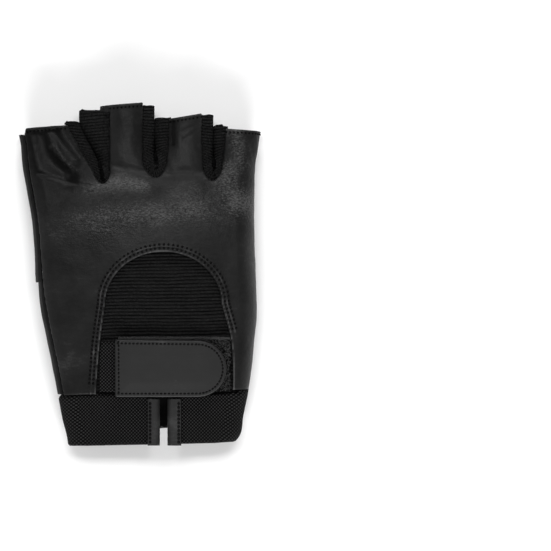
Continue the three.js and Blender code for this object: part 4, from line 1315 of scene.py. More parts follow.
@dataclass
class Back:
    """The leather back with its four finger backs, cut out round the arch.

    Attributes:
        sewn_down_to: How far down the right leg of the arch the stitches run; below it is glued.
        ridge: The ridge between the two hollows of the index finger, along which a painted highlight runs.
        rest: The line of a band of painted shade under the knuckles.
        painted_highlight_lines: Lines of painted highlight, where the leather is glossier too.
    """

    pitch: float = 0.54
    arch_rows: Rows = (1.7, 3.5)
    hem_row: float = 1.7
    sewn_down_to: float = -29.0
    ridge: Crease = Crease(((-42.0, 61.0), (-36.5, 55.5), (-31.0, 49.5)), 0.0, 1.6)
    rest: Crease = Crease(((-34.0, 33.0), (-12.0, 35.0), (8.0, 39.0)), 0.0, 4.0)
    painted_highlight_lines: tuple[Crease, ...] = (
        Crease(((-25.0, 40.5), (-10.0, 44.0), (2.0, 42.0)), 0.0, 3.6),
        Crease(((40.0, 50.0), (47.0, 35.0)), 0.0, 6.0),
        Crease(((45.0, 68.0), (49.0, 54.0)), 0.0, 5.5),
    )
    stretch: Noise = Noise(3)
    lumps: Noise = Noise(7)
    fine: Noise = Noise(11)

    def __post_init__(self) -> None:
        """Lay out the edges of the leather."""
        self.rim = ARCH.line(0.0, -64.0)
        self.hems = [open_line(hem) for hem in BACK_EDGES.hems]
        self.slots = [open_line(path) for path in BACK_EDGES.slots]
        left = side_line(0.5, float(line_at(CUFF_BACK, np.array(-39.0))), 66.4)
        right = side_line(3.5, -55.0, 67.6)[::-1]
        self.left_seam = open_line(left)
        self.cuff_edge = open_line([(-46.0, -58.3), (70.0, -54.7)])
        self.outline = Outline([*left, *BACK_EDGES.top(True)[1:-1], *right, (68.0, -54.8)][::-1])

    def glued(self, w: Array, y: Array) -> Array:
        """Return 1 beside the right leg of the arch, where its rim is glued, and 0 elsewhere."""
        return smoothstep(w, 18, 22) * (1 - smoothstep(y, self.sewn_down_to - 1.5, self.sewn_down_to + 0.5))

    def relief(self, w: Array, y: Array) -> Array:
        """Return the folds, puckers and edges of the leather."""
        rim_away, _x, _y, rim_along = self.rim.nearest(w, y)
        glued = self.glued(w, y)
        height = seam(rim_away, rim_along, self.arch_rows, ARCH_STITCH, 0.7, 0.28) * (1 - glued)
        height = height + seam(rim_away, rim_along, (), ARCH_STITCH, 0.7, 0.0) * glued
        for hem in self.hems:
            height = height + beside(hem, w, y, (self.hem_row,), HEM_STITCH, 0.6, 0.25)
        for slot in self.slots:
            away, _x, _y, along = slot.nearest(w, y)
            height = height + seam(away, along, (), HEM_STITCH, 1.3, 0.0)
            height = height + 0.10 * np.cos(2 * math.pi * along / 2.6) * hump(away, 1.6)
        height = height + beside(self.left_seam, w, y, (), HEM_STITCH, 0.8, 0.0)
        height = height + beside(self.cuff_edge, w, y, (), HEM_STITCH, 0.6, 0.0)
        return height + self.wrinkles(w, y)

    def wrinkles(self, w: Array, y: Array) -> Array:
        """Return the soft lumps and stretch lines of handled leather."""
        turned_x, turned_y = w * 0.94 + y * 0.34, y * 0.94 - w * 0.34
        near_fingers = smoothstep(y, 30, 52)
        lumps = 0.26 * self.lumps(w, y, 13.0) + 0.11 * self.lumps(w + 40, y, 5.5)
        lines = 0.1 * self.stretch(turned_x, turned_y, 2.2, 3.4) * (0.3 + near_fingers)
        tiny = 0.045 * self.fine(w, y, 1.7, 1.4)
        return lumps * (0.55 + 0.45 * near_fingers) + lines + tiny

    def wear_and_painted_light(self, w: Array, y: Array) -> Array:
        """Return the shares: edges lightened by rubbing and painted highlight, a painted highlight band over
        the knuckles with gloss and painted glints, and painted shade.
        """
        rim = self.rim.nearest(w, y)[0]
        # The rim, the space between its rows of stitches and the hems are lighter: rubbing, and a painted
        # highlight where the edges catch the light.
        between_rows = hump(rim - 2.6, 0.45) * (0.6 + 0.6 * self.fine(w, y, 2.2)) * (1 - self.glued(w, y))
        rubbed_and_lit = 0.8 * hump(rim - 0.4, 0.35) + 0.5 * between_rows
        for hem in self.hems:
            rubbed_and_lit = rubbed_and_lit + 0.35 * hump(hem.nearest(w, y)[0] - 0.2, 0.7)
        # A band of painted highlight across the knuckles, and painted highlight along the ridge and the
        # highlight lines, which are glossier too.
        bend = y - 26.5 - 0.125 * w + 4 * self.lumps(w + 90, y, 11.0)
        band = hump(bend, 9.0) * (0.3 + 0.7 * smoothstep(w, -46, -18))
        painted_highlight_lines = sum(line.share(w, y) for line in self.painted_highlight_lines)
        ridge = self.ridge.share(w, y)
        gloss_and_painted_glint = 0.9 * band + 0.6 * ridge + 0.8 * painted_highlight_lines
        rubbed_and_lit = rubbed_and_lit + 0.31 * band + 0.38 * painted_highlight_lines + 0.18 * ridge
        # Painted shade in the index finger's two hollows, the ring finger's hollow, a band under the knuckles
        # and along the right side, less on the ridge; it also flattens the grain there.
        painted_shade = 1.1 * BACK_CREASES[0].share(w, y, 2.0) + 0.9 * BACK_CREASES[1].share(w, y, 1.8)
        painted_shade = painted_shade + 0.45 * self.rest.share(w, y) + 0.6 * smoothstep(w, 55, 60)
        painted_shade = (painted_shade + 0.9 * BACK_CREASES[6].share(w, y)) * (1 - 0.6 * ridge)
        return np.clip(np.stack([rubbed_and_lit, gloss_and_painted_glint, painted_shade], axis=-1), 0, 1)

    def surface(self) -> Surface:
        """Return the finished surface."""
        return raised(GLOVE.back, self.relief)

    def build(self) -> None:
        """Build the leather and its stitches."""
        patch = Patch(
            name="back_leather",
            surface=GLOVE.back,
            us=steps(-56.5, 66.5, self.pitch),
            vs=steps(-58.6, 82.8, self.pitch),
            thickness=LEATHER,
            relief=self.relief,
            outline=self.outline,
            holes=[ARCH.region(0.0, -70.0)],
            wear_and_painted_light=self.wear_and_painted_light,
        )
        adopt(patch.build(), HAND_LEATHER, ["back_panel"])
        rim = ARCH.line(0.0, -58.5).points
        above_cuff = rim[:, 1] > line_at(CUFF_BACK, rim[:, 0]) + 1.0
        sewn = above_cuff & ((rim[:, 0] < 20) | (rim[:, 1] > self.sewn_down_to))
        rim = open_line(rim[sewn])
        rows = [Row(rim, -inset, ARCH_STITCH) for inset in self.arch_rows]
        sew("arch_stitches", self.surface(), rows)
        visible = BACK_EDGES.sewn_hems((0.55, 67.4, 67.4), (3.3, 67.8, 68.2))
        hems = [Row(hem, -self.hem_row, HEM_STITCH) for hem in visible]
        sew("back_hem_stitches", self.surface(), hems)


@dataclass
class Strips:
    """The two leather strips along the index side."""

    half: float = 0.47
    noise: Noise = Noise(19)

    def relief(self, p: Array, y: Array) -> Array:
        """Return the strips' rounded edges and small puckers."""
        edge = (self.half - np.abs(p)) * GLOVE.side_radius * math.pi / 2
        pucker = 0.12 * np.cos(2 * math.pi * y / 2.6) * hump(edge - 0.8, 1.0)
        step = 0.55 * np.where(y > -3.96, smoothstep(-y, -14.0, 3.9), -smoothstep(y, -16.0, -3.3))
        return step + seam(edge, y, (), HEM_STITCH, 0.9, 0.0) + pucker + 0.1 * self.noise(p * 14, y, 4.0, 1.6)

    def build(self) -> None:
        """Build both strips."""
        for name, node, low, high in (
            ("index_strip_top", "index_strip_upper", -3.95, 66.6),
            ("index_strip_bottom", "index_strip_lower", -57.6, -3.25),
        ):
            patch = Patch(
                name=name,
                surface=GLOVE.skin,
                us=np.linspace(-self.half, self.half, 17),
                vs=steps(low, high, 0.8),
                thickness=LEATHER,
                relief=self.relief,
                chart=lambda p, y: np.stack([p * 14, y], axis=-1),
            )
            adopt(patch.build(), SHADED_SIDE_LEATHER, [node])


@dataclass
class ArchPanel:
    """The ribbed elastic that fills the arch, and a margin of it under the leather."""

    rib_pitch: float = 1.65
    rib_height: float = 0.6
    thickness: float = 1.3
    margin: float = 3.0
    bottom: float = -57.0
    wave: Noise = Noise(23)

    def ribs(self, x: Array, y: Array) -> Array:
        """Return the ribs' profile, 1 on a rib and 0 in a furrow; the ribs waver a little."""
        waver = 0.35 * self.wave(x, y, 9.0)
        return np.abs(np.sin(math.pi * (y - 0.015 * x + waver) / self.rib_pitch)) ** 0.8

    def painted_furrow_shade(self, x: Array, y: Array) -> Array:
        """Return the painted shade in the grooves between the ribs, as the last of three shares."""
        dark = 0.75 * (1 - self.ribs(x, y)) * (0.7 + 0.5 * self.wave(x + 30, y * 4, 7.0))
        return np.clip(np.stack([dark * 0, dark * 0, dark], axis=-1), 0, 1)

    def relief(self, x: Array, y: Array) -> Array:
        """Return the ribs and the slight swell of the panel."""
        ribs = self.rib_height * (self.ribs(x, y) - 1)
        inside = ARCH.region(0, -70).inside(x, y)
        away = ARCH.line(0, -70).nearest(x, y)[0]
        swell = np.where(inside, 0.7 * smoothstep(away, 1.0, 14.0), 0.0)
        return ribs + swell - LEATHER - GAP

    def build(self) -> None:
        """Build the panel as cloth held stretched in its opening."""
        patch = Patch(
            name="arch_elastic",
            surface=GLOVE.over,
            us=steps(-24.5, 48.5, 0.95),
            vs=steps(self.bottom, 13.8, 0.2),
            thickness=self.thickness,
            relief=self.relief,
            wear_and_painted_light=self.painted_furrow_shade,
            outline=ARCH.region(self.margin, self.bottom),
        )
        made = patch.build()
        adopt(made, RIB_ELASTIC, ["arch_panel"])


@dataclass(frozen=True)
class Valley:
    """The line at half depth where the knit walls of two fingers meet."""

    name: str
    line: tuple[Place, ...]
    knee_a: float
    knee_b: float
    end_y: float
    pit: float


@dataclass
class Gussets:
    """The knit walls between the fingers."""

    clearance: float = -0.05
    tuck: float = 1.5
    rib_pitch: float = 1.5
    rib_height: float = 0.5
    depth: float = 14.0
    curl: Noise = Noise(53)
    valleys: tuple[Valley, ...] = (
        Valley(
            "index_middle",
            ((50.0, -18.6), (55.5, -20.4), (71.5, -28.3), (79.0, -28.8)),
            *(72.0, 77.8, 53.0, 0.0),
        ),
        Valley("middle_ring", ((45.0, 7.6), (58.5, 7.4), (80.0, 7.2)), 79.6, 74.0, 57.0, 2.6),
        Valley("ring_little", ((45.0, 35.6), (56.5, 35.4), (76.0, 35.4)), 75.2, 70.2, 55.0, 2.6),
    )

    @staticmethod
    def fold_x(valley: Valley, y: Array) -> Array:
        """Return the x of the line where a valley's two walls meet."""
        return Curve([at for at, _x in valley.line], [x for _at, x in valley.line])(y)

    def surface(self, number: int) -> Surface:
        """Return the wall between two fingers over s along the slot and t from back to palm."""
        valley, back, palm = self.valleys[number], BACK_SLOTS[number], PALM_SLOTS[number]
        c = self.clearance

        def deepest(s: Array, curl: Array) -> Array:
            """Return x and y where the wall is deepest in the slot."""
            down_a = valley.knee_a + (valley.end_y + c - valley.knee_a) * np.clip(s / 0.4, -1, 1)
            up_b = valley.end_y + c + (valley.knee_b - valley.end_y - c) * np.clip((s - 0.6) / 0.4, 0, 2)
            angle = np.clip((s - 0.4) / 0.2, 0, 1) * math.pi
            y = np.where(s < 0.4, down_a, np.where(s > 0.6, up_b, valley.end_y + c * (1 - np.sin(angle))))
            return np.stack([self.fold_x(valley, y) - c * np.cos(angle), y + curl], axis=-1)

        def wall(s: Array, t: Array) -> Array:
            """Return points of the wall."""
            ends = smoothstep(np.abs(s - 0.5), 0.42, 0.5)
            curl = 0.45 * ends * self.curl(t * self.depth, s * 0 + number, 1.6)
            top = np.stack(back.path(s, valley.knee_a + 0.3, valley.knee_b + 0.3), axis=-1)
            bottom = np.stack(palm.path(s, valley.knee_a - 4, valley.knee_b - 3), axis=-1)
            deep = deepest(s, curl)
            top_z = GLOVE.over(top[..., 0], top[..., 1])[..., 2] - LEATHER - KNIT_GAP
            bottom_z = GLOVE.palm_height(bottom[..., 0], bottom[..., 1]) + LEATHER + KNIT_GAP
            for edge in (top, bottom):
                away = edge - deep
                edge += away / np.linalg.norm(away, axis=-1, keepdims=True) * self.tuck
            down = (1 - np.cos(math.pi * t)) / 2
            out = np.sin(math.pi * np.clip(t, 0, 1)) ** 0.8
            chord = top + (bottom - top) * down[..., None]
            bulge = (deep - (top + bottom) / 2) * out[..., None]
            pit = valley.pit * hump(np.abs(s - 0.5) - 0.15, 0.07) * hump(t - 0.5, 0.1)
            z = top_z + (bottom_z - top_z) * down - pit
            return np.concatenate([chord + bulge, z[..., None]], axis=-1)

        return wall

    def build(self) -> None:
        """Build the three walls with their ribs."""
        for number, valley in enumerate(self.valleys):
            wall = self.surface(number)
            walk = runs((0, 0.4, 120), (0.4, 0.6, 90), (0.6, 1, 120))
            line = wall(walk, np.full(walk.shape, 0.25))
            lengths = np.concatenate([[0], np.cumsum(np.linalg.norm(np.diff(line, axis=0), axis=1))])
            made = self.knit(valley, wall, walk, lengths).build()
            adopt(made, RIB_KNIT, [f"gusset_{valley.name}"])
            self.cut_width(wall, walk) * MM

    def knit(self, valley: Valley, wall: Surface, walk: Array, lengths: Array) -> Patch:
        """Lay out one knit wall.

        Args:
            valley: Where the wall lies.
            wall: Its surface.
            walk: Its grid lines along the slot.
            lengths: How far along the slot each of them is, in millimetres.

        Returns:
            The wall's patch, over hundredths.
        """

        def ribs(s: Array, t: Array) -> Array:
            """Return the ribs' profile, 0 on a rib and -1 in a furrow."""
            place = wall(s, t)
            y = place[..., 1]
            aside = np.abs(place[..., 0] - self.fold_x(valley, y))
            nested = 0.1 + 0.55 * (1 - smoothstep(y, valley.end_y - 2, valley.end_y + 9))
            waver = 0.4 * self.curl(y, t * self.depth, 5.0)
            return np.abs(np.sin(math.pi * (y - nested * aside + waver) / self.rib_pitch)) ** 0.7 - 1

        def relief(u: Array, v: Array) -> Array:
            """Return the ribs, with a groove where the wall is hemmed."""
            s, t = u / 100, v / 100
            run = np.interp(s, walk, lengths)
            hem = hump(np.minimum(run, lengths[-1] - run) - 2.3, 0.35)
            return (self.rib_height * ribs(s, t) * (1 - hem) - 0.55 * hem) * (1 - hump(t - 0.5, 0.12))

        def shaded(u: Array, v: Array) -> Array:
            """Return the painted shade in the grooves between ribs, along the fold and in the pit, as the
            last of three shares.
            """
            s, t = u / 100, v / 100
            deep = 0.15 + 0.6 * hump(np.abs(s - 0.5) - 0.15, 0.08)
            fold = deep * hump(t - 0.5, 0.08) - 0.6 * ribs(s, t)
            return np.clip(np.stack([fold * 0, fold * 0, fold], axis=-1), 0, 1)

        def chart(u: Array, v: Array) -> Array:
            """Return places on the wall's map."""
            return np.stack([v / 100 * self.depth, np.interp(u / 100, walk, lengths)], axis=-1)

        return Patch(
            name=f"knit_{valley.name}",
            surface=lambda u, v: wall(u / 100, v / 100),
            us=walk * 100,
            vs=runs((0, 50, 37), (50, 100, 16)),
            thickness=KNIT,
            relief=relief,
            wear_and_painted_light=shaded,
            chart=chart,
        )

    @staticmethod
    def cut_width(wall: Surface, walk: Array) -> float:
        """Return how wide the knit is cut: its mean way from back to palm, and what its ribs take up."""
        taken_up = 1.25
        across = np.linspace(0, 1, 30)
        s, t = np.meshgrid(walk, across)
        ways = np.linalg.norm(np.diff(wall(s, t), axis=0), axis=-1).sum(axis=0)
        return float(ways.mean()) * taken_up


@dataclass
class Palm:
    """The three palm leathers and the reinforcing band across them."""

    pitch: float = 0.95
    seam_start: float = -19.1
    seam_gap: float = 0.17
    left_side: float = 0.5
    right_side: float = 2.45
    hem_rows: Rows = (1.7, 3.4)
    band_rows: Rows = (1.3, 3.1)
    lumps: Noise = Noise(31)
    lines: Noise = Noise(37)

    def __post_init__(self) -> None:
        """Lay out the palm's outlines."""
        self.across = np.linspace(-62, 70, 90)
        self.hems = [open_line(hem) for hem in PALM_EDGES.hems]
        self.slots = [open_line(path) for path in PALM_EDGES.slots]
        self.hole = self.thumb_hole()
        self.seam_line = [(x, float(GLOVE.palm_seam(x))) for x in np.linspace(self.seam_start, 70, 40)]

    def thumb_hole(self) -> Outline:
        """Return the hole that the thumb opens into, a little inside the thumb's outline."""
        inset = 2.2
        (ax, ay), (bx, by) = THUMB.hole_line
        slope = (by - ay) / (bx - ax)

        def below(x: float) -> float:
            """Return the height at x where the hole ends towards the fingers."""
            return ay + slope * (x - ax) - inset

        ys = np.linspace(-49.2, -8.0, 40)
        lift = inset * smoothstep(-ys, 40, 50)
        sides = []
        for curve, shift in ((THUMB.right, -inset), (THUMB.left, inset)):
            side = [(float(curve(y)) + shift, y + up) for y, up in zip(ys, lift)]
            sides.append([p for p in side if p[1] < below(p[0])])
        right, left = sides
        corners = [(x, below(x)) for x in (right[-1][0], left[-1][0])]
        return Outline([*right, *corners, *left[::-1]])

    def wrinkles(self, w: Array, y: Array) -> Array:
        """Return the soft lumps of the palm and the gathers round the thumb's base."""
        away = THUMB.distance_outside(w, y)
        spin = np.arctan2(y + 25, w + 12)
        gathers = 0.4 * np.sin(spin * 26) * hump(away - 4.5, 4.0) * (y < -2) * (away > 0.3)
        lumps = 0.22 * self.lumps(w, y, 12.0) + 0.09 * self.lumps(w, y + 30, 5.0)
        return lumps + 0.05 * self.lines(w, y, 2.2, 2.5) + gathers

    def edge_relief(self, w: Array, y: Array, lines: Sequence[tuple[Outline, Rows]]) -> Array:
        """Shape the wrinkles and the stitched edges.

        Args:
            w: Places across the unrolled palm.
            y: Places along it.
            lines: The edges, each with where its rows of stitches run.

        Returns:
            The height to add to the palm.
        """
        height = self.wrinkles(w, y)
        for line, rows in lines:
            height = height + beside(line, w, y, rows, HEM_STITCH, 0.7, 0.2 if rows else 0.0)
        return height

    def finger_lines(self) -> list[tuple[Outline, Rows]]:
        """Return the hems and slots with their rows of stitches."""
        hems = [(hem, self.hem_rows) for hem in self.hems]
        return [*hems, *[(slot, ()) for slot in self.slots]]

    def piece(
        self, name: str, node: str, outline: Outline, relief: Relief, holes: Sequence[Outline] = ()
    ) -> None:
        """Build one palm leather.

        Args:
            name: The object's name.
            node: The node that it replaces.
            outline: What is kept of the palm.
            relief: Its finish.
            holes: What is cut out.
        """
        corners = outline.points
        (low_w, low_y), (high_w, high_y) = corners.min(axis=0), corners.max(axis=0)
        patch = Patch(
            name=name,
            surface=GLOVE.palm,
            us=steps(low_w - 1, high_w + 1, self.pitch),
            vs=steps(low_y - 1, high_y + 1, self.pitch),
            thickness=LEATHER,
            relief=relief,
            outline=outline,
            holes=holes,
            turned=True,
        )
        adopt(patch.build(), HAND_LEATHER, [node])

    def lower_edge(self, shift: float) -> list[Place]:
        """Return the overlay's lower edge across the palm, moved up by a shift."""
        return self.between(lambda w: GLOVE.overlay_lower(w) + shift)

    def between(self, height: Callable[[Array], Array]) -> list[Place]:
        """Return a line across the palm between its two side seams."""
        ys = height(self.across)
        q = GLOVE.rolled(self.across, ys)
        kept = (q > self.left_side) & (q < self.right_side)
        return list(zip(self.across[kept], ys[kept]))

    def build(self) -> None:
        """Build the leathers, the overlay and their stitches."""
        top = PALM_EDGES.top()
        shown = [
            (x, y) for x, y in self.seam_line if GLOVE.rolled(np.array(x), np.array(y)) < self.right_side
        ]
        seam_up = [(x, y + self.seam_gap) for x, y in shown]
        seam_down = [(x, y - self.seam_gap) for x, y in seam_up]
        start = max(i for i, point in enumerate(top) if point[0] <= self.seam_start + 0.3 and point[1] < 50)
        right_top = side_line(self.right_side, seam_up[-1][1], 66.4)[::-1]
        upper = Outline([*top[start:-1], *right_top, *seam_up[::-1]][::-1])
        upper_lines = [*self.finger_lines(), (open_line(seam_up), ())]
        self.piece("palm_fingers", "palm_upper", upper, lambda w, y: self.edge_relief(w, y, upper_lines))
        left = side_line(self.left_side, float(GLOVE.overlay_lower(-55.0)) + 0.2, 65.6)
        right = side_line(self.right_side, -29.4, seam_down[-1][1])[::-1]
        middle = Outline([*left, *top[1 : start + 1], *seam_down, *right, *self.lower_edge(0.2)[::-1]][::-1])
        middle_lines = [*self.finger_lines(), (open_line(seam_down), ())]
        self.piece("palm_centre", "palm_middle", middle, lambda w, y: self.edge_relief(w, y, middle_lines))
        heel_left = side_line(self.left_side, -60.5, float(GLOVE.overlay_lower(-50.0)) - 0.5)
        heel_right = side_line(self.right_side, -53.3, -30.6)[::-1]
        cuff = self.between(lambda w: line_at(CUFF_PALM, w))[::-1]
        heel = Outline([*heel_left, *self.lower_edge(-0.2), *heel_right, *cuff][::-1])
        heel_lines = [(open_line(self.lower_edge(-0.2)), ()), (open_line(cuff), ())]
        hole = [self.hole]
        self.piece("palm_base", "palm_heel", heel, lambda w, y: self.edge_relief(w, y, heel_lines), hole)
        self.overlay()
        finished = raised(GLOVE.palm, lambda w, y: -self.edge_relief(w, y, self.finger_lines()))
        visible = PALM_EDGES.sewn_hems((0.6, 66.0, 66.2), (2.3, 66.5, 66.6))
        hems = [Row(hem, -gap, HEM_STITCH) for hem in visible for gap in self.hem_rows]
        seam_rows = [Row(open_line(seam_down), -1.3, HEM_STITCH)]
        sew("palm_stitches", finished, [*hems, *seam_rows], turned=True)

    def overlay(self) -> None:
        """Build the band laid over the palm, with double rows of stitches along both edges."""
        low = self.between(lambda w: GLOVE.overlay_lower(w) + 0.2)
        high = self.between(lambda w: GLOVE.overlay_upper(w))
        low_line, high_line = open_line(low), open_line(high)
        level = OVERLAY + OVERLAY_GAP

        def relief(w: Array, y: Array) -> Array:
            """Return the band's height above the palm, with its wrinkles and stitched edges."""
            height = self.wrinkles(w, y)
            for line in (low_line, high_line):
                height = height + beside(line, w, y, self.band_rows, ARCH_STITCH, 0.6, 0.15)
            return level + height

        outline = Outline([*low, *high[::-1]])
        corners = outline.points
        patch = Patch(
            name="palm_band",
            surface=GLOVE.palm,
            us=steps(corners[:, 0].min() - 1, corners[:, 0].max() + 1, self.pitch),
            vs=steps(corners[:, 1].min() - 1, corners[:, 1].max() + 1, self.pitch),
            thickness=OVERLAY,
            relief=relief,
            outline=outline,
            turned=True,
        )
        adopt(patch.build(), HAND_LEATHER, ["palm_overlay"])
        rows = [Row(low_line, gap, ARCH_STITCH) for gap in self.band_rows]
        rows += [Row(high_line, -gap, ARCH_STITCH) for gap in self.band_rows]
        finished = raised(GLOVE.palm, lambda w, y: -relief(w, y))
        sew("palm_band_stitches", finished, rows, turned=True)


@dataclass
class Thumb:
    """The folded thumb: its wrapped leather and its side strip."""

    pitch: float = 0.9
    noise: Noise = Noise(41)

    def strip_x(self, y: Array) -> Array:
        """Return the strip seam's x."""
        (ax, ay), (bx, by) = THUMB.strip_line
        return ax + (bx - ax) * (y - ay) / (by - ay)

    def places(self, y: Array, shift: float) -> tuple[Array, Array]:
        """Find the strip's seam round the thumb.

        Args:
            y: Places along the thumb.
            shift: How far beside the seam to look.

        Returns:
            The places round the thumb, on its top and beneath.
        """
        left, right = THUMB.left(y), THUMB.right(y)
        edge = np.minimum(THUMB.edge, (right - left) / 2.2)
        x = self.strip_x(y) + shift
        flat = 1 + (x - left - edge) / np.maximum(right - left - 2 * edge, 1e-6)
        side = 3 - np.arccos(np.clip(1 - (right - x) / edge, -1, 1)) / (math.pi / 2)
        q = np.clip(np.where(x > right - edge, side, flat), 0.8, 2.85)
        return q, 6 - q

    def relief(self, points: Array, p: Array) -> Array:
        """Return the thumb's soft lumps, faded out where it lies on the ground."""
        x, y = points[..., 0], points[..., 1]
        lumps = 0.3 * self.noise(x, y, 9.0) + 0.08 * self.noise(p * 9, y, 2.5)
        return lumps * smoothstep(points[..., 2], 0.4, 2.0)

    def build(self) -> None:
        """Build the wrap and the strip, and sew the strip's seam and the hem."""
        hole = PALM.hole
        (ax, ay), (bx, by) = THUMB.hem
        slope = (by - ay) / (bx - ax)

        def wrap(u: Array, y: Array) -> Array:
            """Return points of the wrapped leather, u from 0 to 100 round the thumb."""
            top, beneath = self.places(y, 0.0)
            return THUMB.skin(beneath + (6 + top - beneath) * u / 100, y)

        def strip(u: Array, y: Array) -> Array:
            """Return points of the side strip, u from 0 to 100 across it."""
            top, beneath = self.places(y, GAP)
            return THUMB.skin(top + (beneath - top) * u / 100, y)

        for name, node, surface, across in (
            ("thumb_leather", "thumb_wrap", wrap, 100),
            ("thumb_side", "thumb_strip", strip, 30),
        ):
            patch = Patch(
                name=name,
                surface=surface,
                us=np.linspace(0, 100, across),
                vs=steps(-51.85, 27.0, self.pitch),
                thickness=LEATHER,
                relief=lambda u, y, surface=surface: self.relief(surface(u, y), u * 0.06),
            )
            made = patch.build()
            self.open_up(made, hole, (ax, ay), slope)
            adopt(made, HAND_LEATHER, [node])
        self.sew_seams()

    def open_up(self, made: bpy.types.Object, hole: Outline, hem_end: Place, slope: float) -> None:
        """Cut the thumb off at its hem and open it towards the palm.

        Args:
            made: The thumb piece.
            hole: The palm's hole.
            hem_end: A point of the hem line.
            slope: The hem line's slope.
        """
        bm = bmesh.new()
        bm.from_mesh(made.data)
        cut = Vector((hem_end[0] * MM, hem_end[1] * MM, 0))
        across = Vector((-slope, 1, 0)).normalized()
        geometry = [*bm.verts, *bm.edges, *bm.faces]
        bmesh.ops.bisect_plane(bm, geom=geometry, plane_co=cut, plane_no=across, clear_outer=True, dist=1e-6)
        places = np.array([vert.co for vert in bm.verts]) / MM
        inside = hole.inside(places[:, 0], places[:, 1]) & (places[:, 2] > THUMB.top * 0.6)
        gone = [vert for vert, cut_out in zip(bm.verts, inside) if cut_out]
        bmesh.ops.delete(bm, geom=gone, context="VERTS")
        bm.to_mesh(made.data)
        bm.free()

    def sew_seams(self) -> None:
        """Sew beside the strip's seam and along the hem, on the side that faces the ground."""
        ys = np.linspace(-44, 12, 40)

        def under(x: Array, y: Array) -> Array:
            """Return points of the thumb's lower side over x and y."""
            left, right = THUMB.left(y), THUMB.right(y)
            edge = np.minimum(THUMB.edge, (right - left) / 2.2)
            flat = 1 + (x - left - edge) / (right - left - 2 * edge)
            return THUMB.skin(6 - np.clip(flat, 0.3, 2.5), y)

        line = Outline(list(zip(self.strip_x(ys) - 1.3, ys)), closed=False)
        (ax, ay), (bx, by) = THUMB.hem
        hem = open_line([(ax + 5, ay - 3.4), (bx - 4, by - 0.7)])
        rows = [Row(line, 0, HEM_STITCH), Row(hem, 0, HEM_STITCH)]
        sew("thumb_stitches", under, rows, turned=True)


PALM = Palm()


